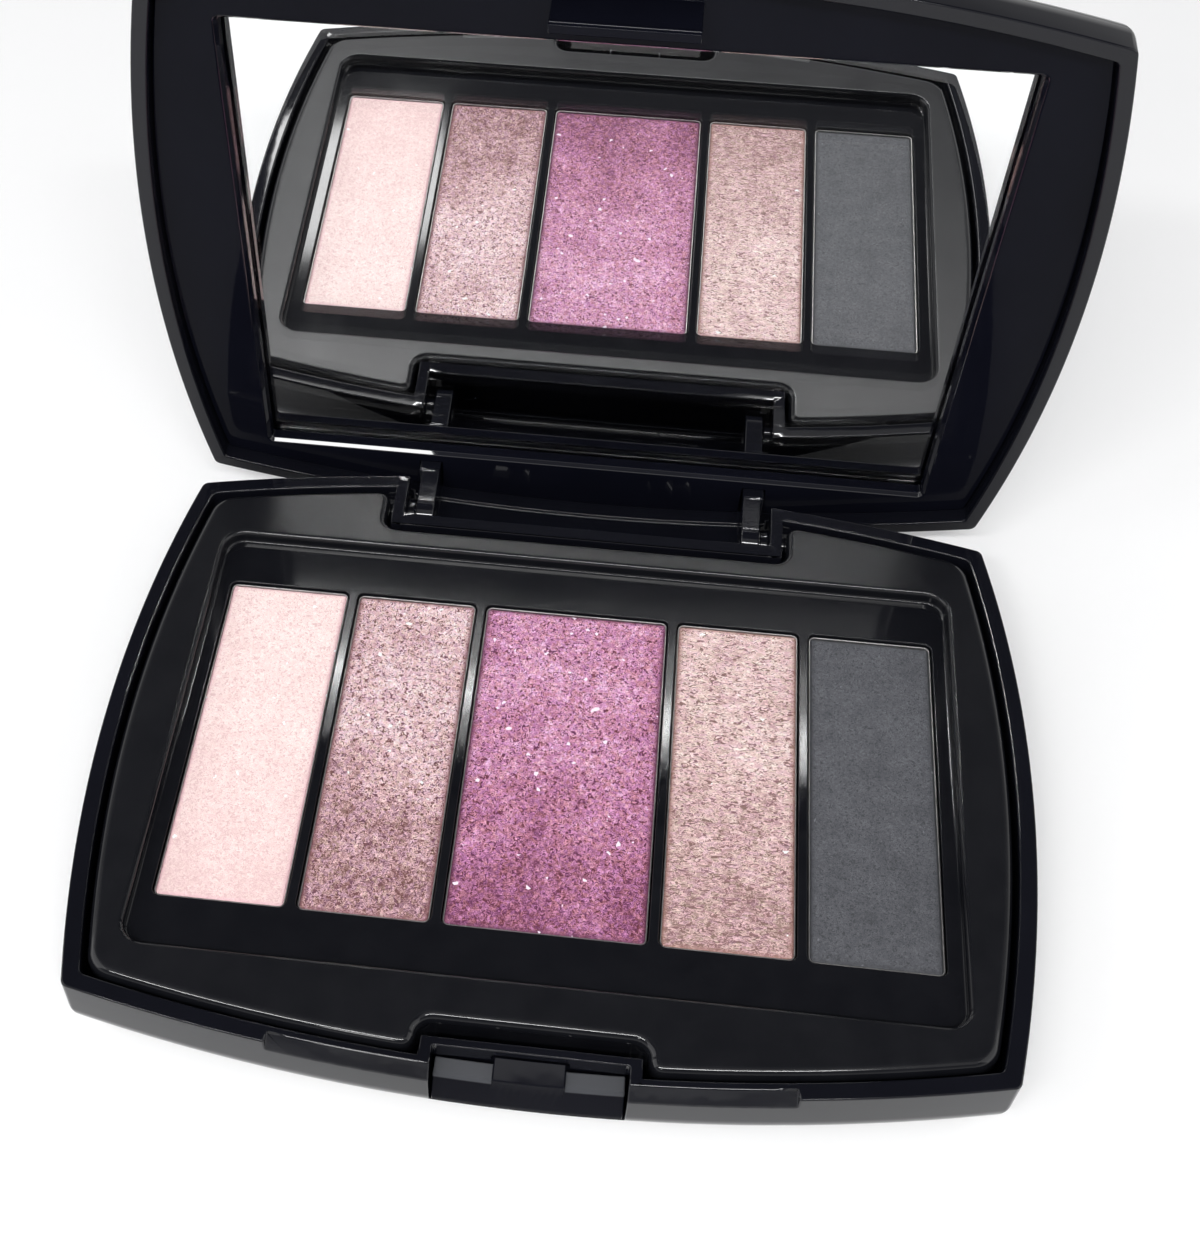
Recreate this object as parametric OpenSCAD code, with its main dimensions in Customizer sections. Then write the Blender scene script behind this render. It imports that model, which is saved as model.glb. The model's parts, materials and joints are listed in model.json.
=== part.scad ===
// Slim pressed-powder eyeshadow palette: a barrel-sided compact with five pans in
// a drop-in tray, a hinged mirror lid and a sliding push-button catch.
// The origin is the middle of the underside, +X to the right, +Y to the hinge, +Z up.
// The lid is drawn closed and then swung open about the hinge pins.

/* [Case] */
// Width of the case, side to side, at the middle of the sides
case_w = 84; // [80:0.5:92]
// Depth of the case, front to back, at the middle
case_d = 65.6; // [63:0.2:72]
// How far the middle of each side stands out beyond the corners
side_bulge = 3; // [2:0.1:4]
// How far the middle of the front and of the back stands out beyond the corners
front_bulge = 4.4; // [3.4:0.1:5]
// Radius of the turn from the walls into the underside and into the lid's top
edge_round = 4; // [3:0.1:4.5]

/* [Base] */
// Height of the base, from the table to its rim
base_h = 8; // [7.8:0.1:10]
// Thickness of the base's floor
base_floor = 1.2; // [1:0.05:1.4]
// Width of the base's rim
rim_w = 1.55; // [1.3:0.05:1.8]
// Half length of the thumb bevel on the front edge
bevel_half = 21.5; // [14:0.5:26]
// Depth of the thumb bevel, front to back
bevel_in = 0.9; // [0.4:0.05:1.1]
// Height of the thumb bevel
bevel_h = 1.4; // [0.8:0.05:1.8]

/* [Tray] */
// Gap between the tray's edge and the base around it
tray_gap = 0.45; // [0.3:0.05:0.6]
// How far the tray's land stands above the base's rim
tray_proud = 0.1; // [0:0.05:0.15]
// Wall of the tray moulding
tray_wall = 0.9; // [0.7:0.05:1.1]
// Radius of the bead that runs round the tray's edge
bead_r = 0.9; // [0.4:0.05:0.9]
// Height of the skirt under the tray's edge
skirt_h = 5.1; // [4:0.1:5.4]
// Depth of the recess around the pans
recess_depth = 1.35; // [1:0.05:1.6]
// Corner radius of the recess
recess_r = 2; // [1.2:0.1:3]
// Radius of the soft upper edge of the recess
recess_lip = 0.5; // [0.2:0.05:0.6]
// Land between the side of the case and the recess
side_land = 6.7; // [6.2:0.1:8]
// Land between the front of the case and the recess
front_land = 9.15; // [8.8:0.05:10]
// Land between the back of the case and the recess
back_land = 10.65; // [10.4:0.05:12]

/* [Pans] */
// Margin between the recess wall and the outer pans
pan_margin = 1.4; // [0.8:0.1:2.4]
// Margin between the recess wall and the ends of the pans
pan_end_margin = 5.2; // [4:0.1:7]
// Width of the middle pan's well
middle_pan_w = 17.7; // [14:0.1:22]
// Width of the rib between two wells
rib_w = 0.83; // [0.7:0.01:1.4]
// Corner radius of a well
well_r = 0.7; // [0.6:0.05:1.2]
// Floor of a well
well_floor = 1; // [0.8:0.05:1.2]
// Clearance between a pan and its well
pan_fit = 0.1; // [0.05:0.01:0.15]
// Wall of a pressed metal pan
pan_wall = 0.35; // [0.25:0.05:0.4]
// How far a pan's rim lies below the floor of the recess
pan_drop = 0.3; // [0.2:0.05:0.6]
// How far the powder lies below its pan's rim
powder_drop = 0.1; // [0.05:0.05:0.4]
// Thickness of the adhesive pad under a pan
glue_t = 0.15; // [0.1:0.05:0.25]
// Border of a pan's underside that the adhesive pad leaves bare
glue_margin = 1.6; // [1:0.1:3]

/* [Catch] */
// Half width of the slot that the push button fills
slot_half = 8; // [7:0.1:9]
// Wall of the cheek at each end of the slot
cheek_w = 1; // [0.8:0.05:1.2]
// Distance from the front of the case to the bridge over the button
bridge_in = 2.7; // [2.6:0.05:3]
// Thickness of the bridge, front to back
bridge_t = 0.75; // [0.6:0.05:0.85]
// Height of the bridge
bridge_h = 1.8; // [1.6:0.05:2]
// Gap at each end of the button
button_gap = 0.15; // [0.1:0.01:0.25]
// How far the button's back edge lies below the rim
button_drop = 1.95; // [1.9:0.05:2.3]
// How far the button's brow lies below its back edge
brow_drop = 0.5; // [0.3:0.05:0.8]
// How far the button's steep face drops below its brow
face_drop = 1.95; // [1.4:0.05:2.1]
// Half width of the finger rib in the middle of the button
finger_half = 2.95; // [2:0.05:4]
// How far the button travels when pressed
press_travel = 0.9; // [0.6:0.05:0.95]
// Height of the runners that the button slides on
runner_h = 1.5; // [1.3:0.05:1.6]
// Running gap under the button
slide_gap = 0.1; // [0.05:0.01:0.15]
// Thickness of the button's deck
deck_t = 1.6; // [1.4:0.05:1.7]
// Length of the return spring at rest
spring_l = 3.1; // [2.8:0.1:3.6]
// Outer diameter of the return spring
spring_d = 2.1; // [1.8:0.05:2.2]
// Wire diameter of the return spring
spring_wire = 0.3; // [0.2:0.05:0.35]
// Turns of the return spring
spring_turns = 5; // [3:1:6]

/* [Hook] */
// Half width of the lid's hook plate
hook_half = 5.9; // [4:0.1:7]
// Thickness of the hook plate
hook_t = 0.85; // [0.7:0.05:1]
// How far the hook plate reaches below the lid's rim
hook_reach = 2.8; // [2.2:0.05:3]
// Gap between the hook plate and what it passes
hook_gap = 0.3; // [0.25:0.01:0.35]
// How far the hook's toe stands out of the plate
hook_toe = 0.1; // [0.05:0.01:0.12]

/* [Hinge] */
// Outer radius of the lid's curved back web about the hinge axis
web_r = 3.25; // [3.1:0.05:3.4]
// Thickness of the back web
web_t = 1.05; // [0.8:0.05:1.2]
// Clearance between the back web and the base's floor
web_clear = 0.25; // [0.2:0.05:0.4]
// Radius of the rounded end of each hinge arm
arm_r = 2.55; // [2.3:0.05:2.7]
// Distance from the middle to the outer face of each arm
arm_out = 17.3; // [14:0.1:20]
// Thickness of each arm
arm_t = 1.8; // [1.5:0.05:2.2]
// How much wider each arm's root is
root_step = 0.3; // [0:0.05:0.5]
// Gap between each arm and the side of the hinge notch
notch_gap = 1; // [0.6:0.05:1.3]
// Wall around the hinge notch
notch_wall = 1.15; // [0.9:0.05:1.3]
// Diameter of the hinge pins
pin_d = 1.5; // [1.2:0.05:1.7]
// Depth of each pin in its boss
pin_seat = 3.9; // [3:0.1:4.5]
// Running clearance between a pin and its arm
pin_fit = 0.05; // [0.03:0.01:0.08]

/* [Lid] */
// Gap between the closed lid and the base
lid_gap = 0.25; // [0.2:0.01:0.4]
// Height of the lid
lid_h = 6; // [5.8:0.1:7.5]
// Width of the lid's rim
lid_rim_w = 1.4; // [1.2:0.05:1.7]
// How far the mirror frame lies behind the lid's rim
frame_set = 1.5; // [1.4:0.05:1.8]
// Thickness of the mirror frame
frame_t = 1.45; // [1.2:0.05:1.6]
// Clearance around the mirror frame
frame_fit = 0.1; // [0.05:0.01:0.15]
// Chamfer around the frame's window
window_chamfer = 0.4; // [0.2:0.05:0.6]
// Land between the side of the case and the window
window_side = 8.9; // [8:0.1:12]
// Land between the front of the case and the window
window_front = 8.5; // [8:0.1:10]
// Land between the back of the case and the window
window_back = 7.2; // [7:0.1:9]
// How far the glass runs behind the frame on each side
glass_lap = 0.9; // [0.6:0.05:1.2]
// Thickness of the mirror glass
glass_t = 1.3; // [1:0.05:1.4]
// Thickness of the foam pad behind the glass
pad_t = 0.3; // [0.2:0.05:0.4]
// Angle that the lid is drawn open at
open_angle = 88; // [0:1:95]

/* [Hidden] */

// Smoothness of the long arcs of the outline, and of small turns
arc_fn = 360;
small_fn = 48;
// Overlap that fuses two volumes of one piece, and reach past a face that is cut
fuse = 0.3;
past = 2;
sides = [-1, 1];

// The outline is four arcs, each struck from a point beyond the opposite side
corner_x = case_w / 2 - side_bulge;
corner_y = case_d / 2 - front_bulge;
side_arc_r = (corner_y * corner_y + side_bulge * side_bulge) / (2 * side_bulge);
front_arc_r = (corner_x * corner_x + front_bulge * front_bulge) / (2 * front_bulge);
side_arc_x = side_arc_r - case_w / 2;
front_arc_y = front_arc_r - case_d / 2;
front_y = -case_d / 2;
back_y = case_d / 2;

// Tray, recess and pan row
tray_inset = rim_w + tray_gap;
tray_top = base_h + tray_proud;
skirt_z = tray_top - skirt_h;
recess_z = tray_top - recess_depth;
recess_w = case_w - 2 * side_land;
recess_d = case_d - front_land - back_land;
recess_y = (front_land - back_land) / 2;
well_l = recess_d - 2 * pan_end_margin;
side_well_w = (recess_w - 2 * pan_margin - middle_pan_w - 4 * rib_w) / 4;
well_z = base_floor + well_floor;
pan_z = well_z + glue_t;
pan_top = recess_z - pan_drop;
powder_top = pan_top - powder_drop;
pan_base_t = 0.4;
near_x = middle_pan_w / 2 + rib_w + side_well_w / 2;
far_x = near_x + side_well_w + rib_w;
well_x = [-far_x, -near_x, 0, near_x, far_x];
well_w = [side_well_w, side_well_w, middle_pan_w, side_well_w, side_well_w];
row_half = far_x + side_well_w / 2;

// Catch: distances run back from the front of the case
bridge_y = front_y + bridge_in;
bridge_back = bridge_y + bridge_t;
hook_y = bridge_back + hook_gap;
hook_back = hook_y + hook_t;
notch_y = hook_back + hook_gap;
slot_z = base_floor + runner_h;
button_z = slot_z + slide_gap;
deck_top = button_z + deck_t;
button_half = slot_half - button_gap;
head_in = bridge_in - 0.2;
brow_in = 1.3;
face_in = 0.2;
deck_back = hook_back + 1.7;
ear_l = 0.8;
ear_gap = 0.1;
ear_half = slot_half + cheek_w - 0.2;
cheek_back = deck_back - ear_l - ear_gap;
cheek_top = deck_top + 0.4;
spring_z = button_z + deck_t / 2;
stop_y = deck_back + spring_l;
stop_half = 2.5;
stop_t = 0.8;
nub_d = spring_d - 2 * spring_wire - 0.4;
nub_l = 1.1;
tray_notch_half = slot_half + cheek_w + tray_gap;

// Hinge
hinge_y = back_y - web_r;
hinge_z = base_floor + web_r + web_clear;
notch_half = arm_out + notch_gap;
notch_face = hinge_y - web_r - 0.3;
notch_front = hinge_y - arm_r - 0.3;
wall_half = notch_half + notch_wall;
wall_y = notch_face - 0.8;
ledge_h = 1.2;
boss_r = 1.9;
boss_end = notch_half + pin_seat + 0.7;
collar_r = pin_d / 2 + 0.75;
collar_gap = 0.15;
web_end_angle = 60;

// Lid, closed
lid_z = base_h + lid_gap;
lid_top = lid_z + lid_h;
frame_z = lid_z + frame_set;
glass_z = frame_z + frame_t;
pad_z = glass_z + glass_t;
seat_z = pad_z + pad_t;
window_w = case_w - 2 * window_side;
window_d = case_d - window_front - window_back;
window_y = (window_front - window_back) / 2;
glass_w = window_w + 2 * glass_lap;
glass_d = window_d + 2 * glass_lap;
glass_fit = 0.15;
root_z = lid_z + fuse;

// The back edge of the base reaches this far from the hinge axis at a distance x from
// the middle; the lid's rim is relieved to clear it, out to where the outline meets the axis
relief_clear = 0.12;
relief_steps = 8;
relief_from = notch_half - relief_clear;
relief_to = sqrt(front_arc_r * front_arc_r - pow(hinge_y + front_arc_y, 2));
function outline_y(x) = sqrt(front_arc_r * front_arc_r - x * x) - front_arc_y;
function edge_reach(x) = norm([outline_y(x) - hinge_y, base_h - hinge_z]) + relief_clear;

black_gloss = "#101013";
black_satin = "#2a2a2e";
metal = "#c9c9c6";
powder_colours = ["#dcb3ab", "#6e3a37", "#8d4a63", "#b7837a", "#2b272b"];

// ---- Shared shapes ----

// Half section of a disc: square, with its lower and upper outer corners rounded
module disc_profile(reach, z0, z1, low_r, top_r) {
    difference() {
        translate([0, z0])
            square([reach, z1 - z0]);
        if (low_r > 0)
            difference() {
                translate([reach - low_r, z0 - past])
                    square([low_r + past, low_r + past]);
                translate([reach - low_r, z0 + low_r])
                    circle(low_r, $fn = small_fn);
            }
        if (top_r > 0)
            difference() {
                translate([reach - top_r, z1 - top_r])
                    square([top_r + past, top_r + past]);
                translate([reach - top_r, z1 - top_r])
                    circle(top_r, $fn = small_fn);
            }
    }
}

module disc(reach, z0, z1, low_r, top_r) {
    rotate_extrude($fn = arc_fn)
        disc_profile(reach, z0, z1, low_r, top_r);
}

// Slab with the case's outline, drawn in by inset, with rounded lower or upper edges
module case_slab(inset, z0, z1, low_r = 0, top_r = 0) {
    intersection() {
        translate([side_arc_x, 0, 0])
            disc(side_arc_r - inset, z0, z1, low_r, top_r);
        translate([-side_arc_x, 0, 0])
            disc(side_arc_r - inset, z0, z1, low_r, top_r);
        translate([0, front_arc_y, 0])
            disc(front_arc_r - inset, z0, z1, low_r, top_r);
        translate([0, -front_arc_y, 0])
            disc(front_arc_r - inset, z0, z1, low_r, top_r);
    }
}

// Flat outline of the case, drawn in by inset
module barrel(inset) {
    intersection() {
        translate([side_arc_x, 0])
            circle(side_arc_r - inset, $fn = arc_fn);
        translate([-side_arc_x, 0])
            circle(side_arc_r - inset, $fn = arc_fn);
        translate([0, front_arc_y])
            circle(front_arc_r - inset, $fn = arc_fn);
        translate([0, -front_arc_y])
            circle(front_arc_r - inset, $fn = arc_fn);
    }
}

// Ring that follows the front edge, cut to a half width; its section is drawn
// with X as the distance from the centre of the front arc
module along_front(half_w) {
    intersection() {
        translate([0, front_arc_y, 0])
            rotate_extrude($fn = arc_fn)
                children();
        translate([-half_w, front_y - past, -past])
            cube([2 * half_w, case_d / 2, lid_top]);
    }
}

// Box given by its lowest and highest corners
module block(low, high) {
    translate(low)
        cube(high - low);
}

// Plate with rounded corners, centred on X and Y, standing on Z = 0
module rounded_plate(w, d, r, h) {
    linear_extrude(h)
        difference() {
            square([w, d], center = true);
            for (x = sides, y = sides)
                translate([x * w / 2, y * d / 2])
                    difference() {
                        square(2 * r, center = true);
                        translate([-x * r, -y * r])
                            circle(r, $fn = small_fn);
                    }
        }
}

// Rod along X, given by its ends
module rod_x(x0, x1, r) {
    translate([x0, hinge_y, hinge_z])
        rotate([0, 90, 0])
            cylinder(h = x1 - x0, r = r, $fn = small_fn);
}

// ---- Base ----

// What is added inside the base stops half way through its wall
module inside_base() {
    intersection() {
        union()
            children();
        case_slab(rim_w / 2, base_floor / 2, base_h, low_r = edge_round - rim_w / 2);
    }
}

module base_bowl() {
    difference() {
        case_slab(0, 0, base_h, low_r = edge_round);
        case_slab(rim_w, base_floor, base_h + past, low_r = edge_round - rim_w);
    }
}

// Bridge, cheeks, runners and spring stop around the push button
module catch_housing() {
    block([-slot_half - cheek_w, bridge_y, base_h - bridge_h],
        [slot_half + cheek_w, bridge_back, base_h]);
    for (s = sides)
        scale([s, 1, 1]) {
            block([slot_half, front_y, 0], [slot_half + cheek_w, bridge_back, base_h]);
            block([slot_half, front_y, 0], [slot_half + cheek_w, cheek_back, cheek_top]);
            block([slot_half / 2, front_y, 0], [slot_half / 2 + 1.5, stop_y, slot_z]);
        }
    block([-stop_half, stop_y, 0], [stop_half, stop_y + stop_t, spring_z + stop_t]);
}

// Walls around the hinge notch, and the bosses that hold the pins
module hinge_housing() {
    block([-wall_half, wall_y, 0], [wall_half, notch_face, base_h]);
    block([-wall_half, wall_y, base_h - ledge_h], [wall_half, notch_front, base_h]);
    for (s = sides)
        scale([s, 1, 1]) {
            block([notch_half, wall_y, 0], [wall_half, back_y, base_h]);
            block([notch_half, hinge_y - boss_r, 0], [boss_end, hinge_y + boss_r, hinge_z]);
            rod_x(notch_half, boss_end, boss_r);
        }
}

module hinge_opening() {
    difference() {
        block([-notch_half, notch_face, base_floor], [notch_half, back_y + past, base_h + past]);
        block([-wall_half, wall_y, base_h - ledge_h], [wall_half, notch_front, base_h + 2 * past]);
    }
    block([-notch_half, hinge_y, -past], [notch_half, back_y + past, base_h + past]);
}

// Opening in the front wall that the button shows through
module button_opening() {
    block([-slot_half, front_y - past, slot_z], [slot_half, bridge_y, base_h + past]);
    block([-slot_half, front_y - past, slot_z], [slot_half, deck_back, base_h - bridge_h]);
    finger_slot = finger_half + button_gap;
    block([-finger_slot, front_y, slot_z],
        [finger_slot, bridge_back + past / 2, base_h - bridge_h / 2]);
}

module thumb_bevel() {
    along_front(bevel_half)
        polygon([
            [front_arc_r - bevel_in, base_h],
            [front_arc_r, base_h - bevel_h],
            [front_arc_r + past, base_h - bevel_h],
            [front_arc_r + past, base_h + past],
            [front_arc_r - bevel_in, base_h + past]
        ]);
}

module base_shell() {
    color(black_gloss)
        difference() {
            union() {
                difference() {
                    union() {
                        base_bowl();
                        inside_base() {
                            catch_housing();
                            hinge_housing();
                        }
                    }
                    thumb_bevel();
                    button_opening();
                    hinge_opening();
                }
                for (s = sides)
                    scale([s, 1, 1])
                        rod_x(arm_out + collar_gap, notch_half + fuse, collar_r);
            }
            for (s = sides)
                scale([s, 1, 1])
                    rod_x(arm_out, notch_half + pin_seat + 0.1, pin_d / 2);
        }
}

// ---- Tray ----

// Outline of the tray, drawn in by inset, with its notches for the catch and hinge
module tray_outline(inset) {
    difference() {
        barrel(tray_inset + inset);
        translate([0, front_y])
            square([2 * (tray_notch_half + inset), 2 * (notch_y - front_y + inset)], center = true);
        translate([0, back_y])
            square([2 * (wall_half + tray_gap + inset), 2 * (back_y - wall_y + tray_gap + inset)],
                center = true);
    }
}

// Outer skin of the tray, hollow underneath
module tray_skin() {
    difference() {
        intersection() {
            case_slab(tray_inset, skirt_z, tray_top, top_r = bead_r);
            translate([0, 0, skirt_z - past])
                linear_extrude(skirt_h + 2 * past)
                    tray_outline(0);
        }
        translate([0, 0, skirt_z - past])
            linear_extrude(skirt_h + past - tray_wall)
                tray_outline(tray_wall);
    }
}

// Recess with rounded corners and a soft, rounded upper edge
module recess_cut() {
    lip_w = recess_w + 2 * recess_lip;
    lip_d = recess_d + 2 * recess_lip;
    lip_z = tray_top - recess_lip;
    translate([0, recess_y, 0]) {
        translate([0, 0, recess_z])
            rounded_plate(recess_w, recess_d, recess_r, recess_depth + past);
        difference() {
            translate([0, 0, lip_z])
                rounded_plate(lip_w, lip_d, recess_r + recess_lip, recess_lip + past);
            for (s = sides) {
                translate([s * lip_w / 2, 0, lip_z])
                    rotate([90, 0, 0])
                        cylinder(h = recess_d - 2 * recess_r, r = recess_lip, center = true, $fn = small_fn);
                translate([0, s * lip_d / 2, lip_z])
                    rotate([0, 90, 0])
                        cylinder(h = recess_w - 2 * recess_r, r = recess_lip, center = true, $fn = small_fn);
            }
            for (turn = [0 : 3])
                translate([
                    (turn == 0 || turn == 3 ? 1 : -1) * (recess_w / 2 - recess_r),
                    (turn < 2 ? 1 : -1) * (recess_d / 2 - recess_r),
                    lip_z
                ])
                    rotate([0, 0, 90 * turn])
                        rotate_extrude(angle = 90, $fn = small_fn)
                            translate([recess_r + recess_lip, 0])
                                circle(recess_lip, $fn = small_fn);
        }
    }
}

module pan_tray() {
    block_w = 2 * (row_half + tray_wall);
    block_l = well_l + 2 * tray_wall;
    color(black_satin)
        difference() {
            union() {
                tray_skin();
                translate([0, recess_y, recess_z - tray_wall])
                    rounded_plate(recess_w + 2 * tray_wall, recess_d + 2 * tray_wall,
                        recess_r + tray_wall, tray_top - recess_z);
                block([-block_w / 2, recess_y - block_l / 2, base_floor],
                    [block_w / 2, recess_y + block_l / 2, recess_z - tray_wall / 2]);
            }
            recess_cut();
            for (i = [0 : 4])
                translate([well_x[i], recess_y, well_z])
                    rounded_plate(well_w[i], well_l, well_r, base_h);
            // Room for the catch housing and for the pin bosses
            block([-tray_notch_half, front_y, -past],
                [tray_notch_half, stop_y + stop_t + tray_gap, cheek_top + 0.2]);
            for (s = sides)
                scale([s, 1, 1])
                    block([wall_half, hinge_y - boss_r - tray_gap, -past],
                        [boss_end + tray_gap, back_y, hinge_z + boss_r + 0.2]);
        }
}

// ---- Pans and powders, numbered from the left ----

module pan(i) {
    outer_w = well_w[i] - 2 * pan_fit;
    outer_l = well_l - 2 * pan_fit;
    color(metal)
        translate([well_x[i], recess_y, 0])
            difference() {
                translate([0, 0, pan_z])
                    rounded_plate(outer_w, outer_l, well_r - pan_fit, pan_top - pan_z);
                translate([0, 0, pan_z + pan_base_t])
                    rounded_plate(outer_w - 2 * pan_wall, outer_l - 2 * pan_wall,
                        well_r - pan_fit - pan_wall, base_h);
            }
}

module powder(i) {
    inset = pan_fit + pan_wall;
    color(powder_colours[i])
        translate([well_x[i], recess_y, pan_z + pan_base_t])
            rounded_plate(well_w[i] - 2 * inset, well_l - 2 * inset, well_r - inset,
                powder_top - pan_z - pan_base_t);
}

module pan_adhesive() {
    color("#e8e4d8")
        for (i = [0 : 4])
            translate([well_x[i], recess_y, well_z])
                rounded_plate(well_w[i] - 2 * glue_margin, well_l - 2 * glue_margin, well_r, glue_t);
}

// ---- Catch ----

module latch_button() {
    head_z = base_h - button_drop;
    brow_z = head_z - brow_drop;
    face_z = brow_z - face_drop;
    finger_top = base_h - bridge_h / 2 - button_gap;
    color(black_gloss) {
        along_front(button_half)
            polygon([
                [front_arc_r - head_in, button_z],
                [front_arc_r - head_in, head_z],
                [front_arc_r - brow_in, brow_z],
                [front_arc_r - face_in, face_z],
                [front_arc_r - face_in, button_z]
            ]);
        along_front(finger_half)
            polygon([
                [front_arc_r - bridge_in, deck_top],
                [front_arc_r - bridge_in, finger_top],
                [front_arc_r - brow_in + 0.25, finger_top - 0.95],
                [front_arc_r - brow_in + 0.5, brow_z - 1],
                [front_arc_r - brow_in, deck_top]
            ]);
        block([-button_half, front_y + head_in - fuse, button_z], [button_half, deck_back, deck_top]);
        block([-ear_half, deck_back - ear_l, button_z], [ear_half, deck_back, deck_top]);
        translate([0, deck_back - fuse, spring_z])
            rotate([-90, 0, 0])
                cylinder(h = nub_l + fuse, d = nub_d, $fn = small_fn);
    }
}

// Round wire wound along Y, swept ring by ring
module latch_spring() {
    wire_r = spring_wire / 2;
    coil_r = spring_d / 2 - wire_r;
    ring_sides = 8;
    steps = spring_turns * 14;
    pitch = (spring_l - spring_wire) / steps;
    centres = [for (i = [0 : steps]) let (a = 360 * spring_turns * i / steps)
        [coil_r * cos(a), deck_back + wire_r + pitch * i, spring_z + coil_r * sin(a)]];
    points = [for (i = [0 : steps], j = [0 : ring_sides - 1])
        let (a = 360 * spring_turns * i / steps, b = 360 * j / ring_sides)
            centres[i] + wire_r * [cos(b) * cos(a), sin(b), cos(b) * sin(a)]];
    walls = [for (i = [0 : steps - 1], j = [0 : ring_sides - 1])
        let (k = (j + 1) % ring_sides, a = i * ring_sides, b = a + ring_sides)
            [a + j, a + k, b + k, b + j]];
    start_cap = [for (j = [ring_sides - 1 : -1 : 0]) j];
    end_cap = [for (j = [0 : ring_sides - 1]) steps * ring_sides + j];
    color(metal)
        polyhedron(points, concat(walls, [start_cap, end_cap]), convexity = 6);
}

// ---- Hinge ----

module hinge_pin(s) {
    color(metal)
        scale([s, 1, 1])
            rod_x(arm_out - arm_t + 0.1, notch_half + pin_seat, pin_d / 2);
}

// Back web: the case's outline above the hinge axis, and a roll about it below
module web_solid(inset, r, half_w, top_z) {
    intersection() {
        translate([0, 0, -past])
            linear_extrude(lid_top + 2 * past)
                barrel(inset);
        union() {
            rod_x(-half_w, half_w, r);
            block([-half_w, hinge_y, hinge_z], [half_w, back_y + past, top_z]);
        }
    }
}

module back_web() {
    difference() {
        web_solid(0, web_r, arm_out, lid_z + fuse);
        web_solid(web_t, web_r - web_t, arm_out + past, lid_z + 2 * fuse);
        translate([-case_w / 2, hinge_y, hinge_z])
            rotate([-web_end_angle, 0, 0])
                translate([0, -case_d, -case_d])
                    cube([case_w, 2 * case_d, case_d]);
        block([-case_w / 2, hinge_y - case_d, -past], [case_w / 2, hinge_y, lid_top]);
    }
}

// Arm with a rounded end about the hinge axis, and a wider root in the lid
module hinge_arm() {
    intersection() {
        union() {
            rod_x(arm_out - arm_t, arm_out, arm_r);
            block([arm_out - arm_t, hinge_y - arm_r, hinge_z], [arm_out, back_y, glass_z + fuse]);
            block([arm_out - arm_t, hinge_y - arm_r, root_z],
                [arm_out + root_step, back_y, glass_z + fuse]);
        }
        translate([0, 0, -past])
            linear_extrude(lid_top + 2 * past)
                barrel(0);
    }
}

// Turned about the hinge axis, what the base's back edge needs as the lid swings past it
module rim_relief() {
    step = (relief_to - relief_from) / relief_steps;
    stations = [for (i = [0 : relief_steps]) relief_from + i * step];
    translate([0, hinge_y, hinge_z])
        rotate([0, 90, 0])
            rotate_extrude($fn = arc_fn)
                polygon(concat(
                    [[0, relief_from]],
                    [for (x = stations) [edge_reach(x), x]],
                    [[0, relief_to]]
                ));
}

// ---- Lid ----

// Swings what is drawn closed to the angle that the lid stands at
module swing_open() {
    translate([0, hinge_y, hinge_z])
        rotate([-open_angle, 0, 0])
            translate([0, -hinge_y, -hinge_z])
                children();
}

module lid_shell() {
    color(black_gloss)
        swing_open()
            difference() {
                union() {
                    difference() {
                        case_slab(0, lid_z, lid_top, top_r = edge_round);
                        translate([0, 0, lid_z - past])
                            linear_extrude(glass_z - lid_z + past)
                                barrel(lid_rim_w);
                        translate([0, window_y, glass_z - fuse])
                            linear_extrude(seat_z - glass_z + fuse)
                                square([glass_w + 2 * glass_fit, glass_d + 2 * glass_fit], center = true);
                        for (s = sides)
                            scale([s, 1, 1])
                                rim_relief();
                    }
                    back_web();
                    for (s = sides)
                        scale([s, 1, 1])
                            hinge_arm();
                }
                rod_x(-arm_out - past, arm_out + past, pin_d / 2 + pin_fit);
            }
}

// Window whose front edge is chamfered: two prisms that cross
module window_cut() {
    flare = window_chamfer + past;
    translate([0, window_y, frame_z]) {
        translate([-window_w / 2, -window_d / 2, -past])
            cube([window_w, window_d, frame_t + 2 * past]);
        intersection() {
            rotate([90, 0, 0])
                linear_extrude(case_d, center = true)
                    polygon([
                        [-window_w / 2, window_chamfer],
                        [-window_w / 2 - flare, -past],
                        [window_w / 2 + flare, -past],
                        [window_w / 2, window_chamfer]
                    ]);
            rotate([90, 0, 90])
                linear_extrude(case_w, center = true)
                    polygon([
                        [-window_d / 2, window_chamfer],
                        [-window_d / 2 - flare, -past],
                        [window_d / 2 + flare, -past],
                        [window_d / 2, window_chamfer]
                    ]);
        }
    }
}

module mirror_frame() {
    color(black_gloss)
        swing_open() {
            difference() {
                translate([0, 0, frame_z])
                    linear_extrude(frame_t)
                        barrel(lid_rim_w + frame_fit);
                window_cut();
                for (s = sides)
                    scale([s, 1, 1])
                        block([arm_out - arm_t - frame_fit, hinge_y - arm_r - frame_fit, 0],
                            [arm_out + root_step + frame_fit, back_y, lid_top]);
            }
            block([-hook_half, hook_y, lid_z - hook_reach], [hook_half, hook_back, frame_z + fuse]);
            translate([0, hook_y, lid_z - hook_reach])
                rotate([90, 0, 90])
                    linear_extrude(2 * hook_half, center = true)
                        polygon([[0.1, 0], [0, 0], [-hook_toe, 0.3], [-hook_toe, 0.5], [0, 0.8], [0.1, 0.8]]);
        }
}

module mirror() {
    color("#aab2bb")
        swing_open()
            translate([-glass_w / 2, window_y - glass_d / 2, glass_z])
                cube([glass_w, glass_d, glass_t]);
}

module mirror_pad() {
    color("#4a4a4a")
        swing_open()
            translate([-glass_w / 2 + glass_lap, window_y - glass_d / 2 + glass_lap, pad_z])
                cube([window_w, window_d, pad_t]);
}

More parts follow.
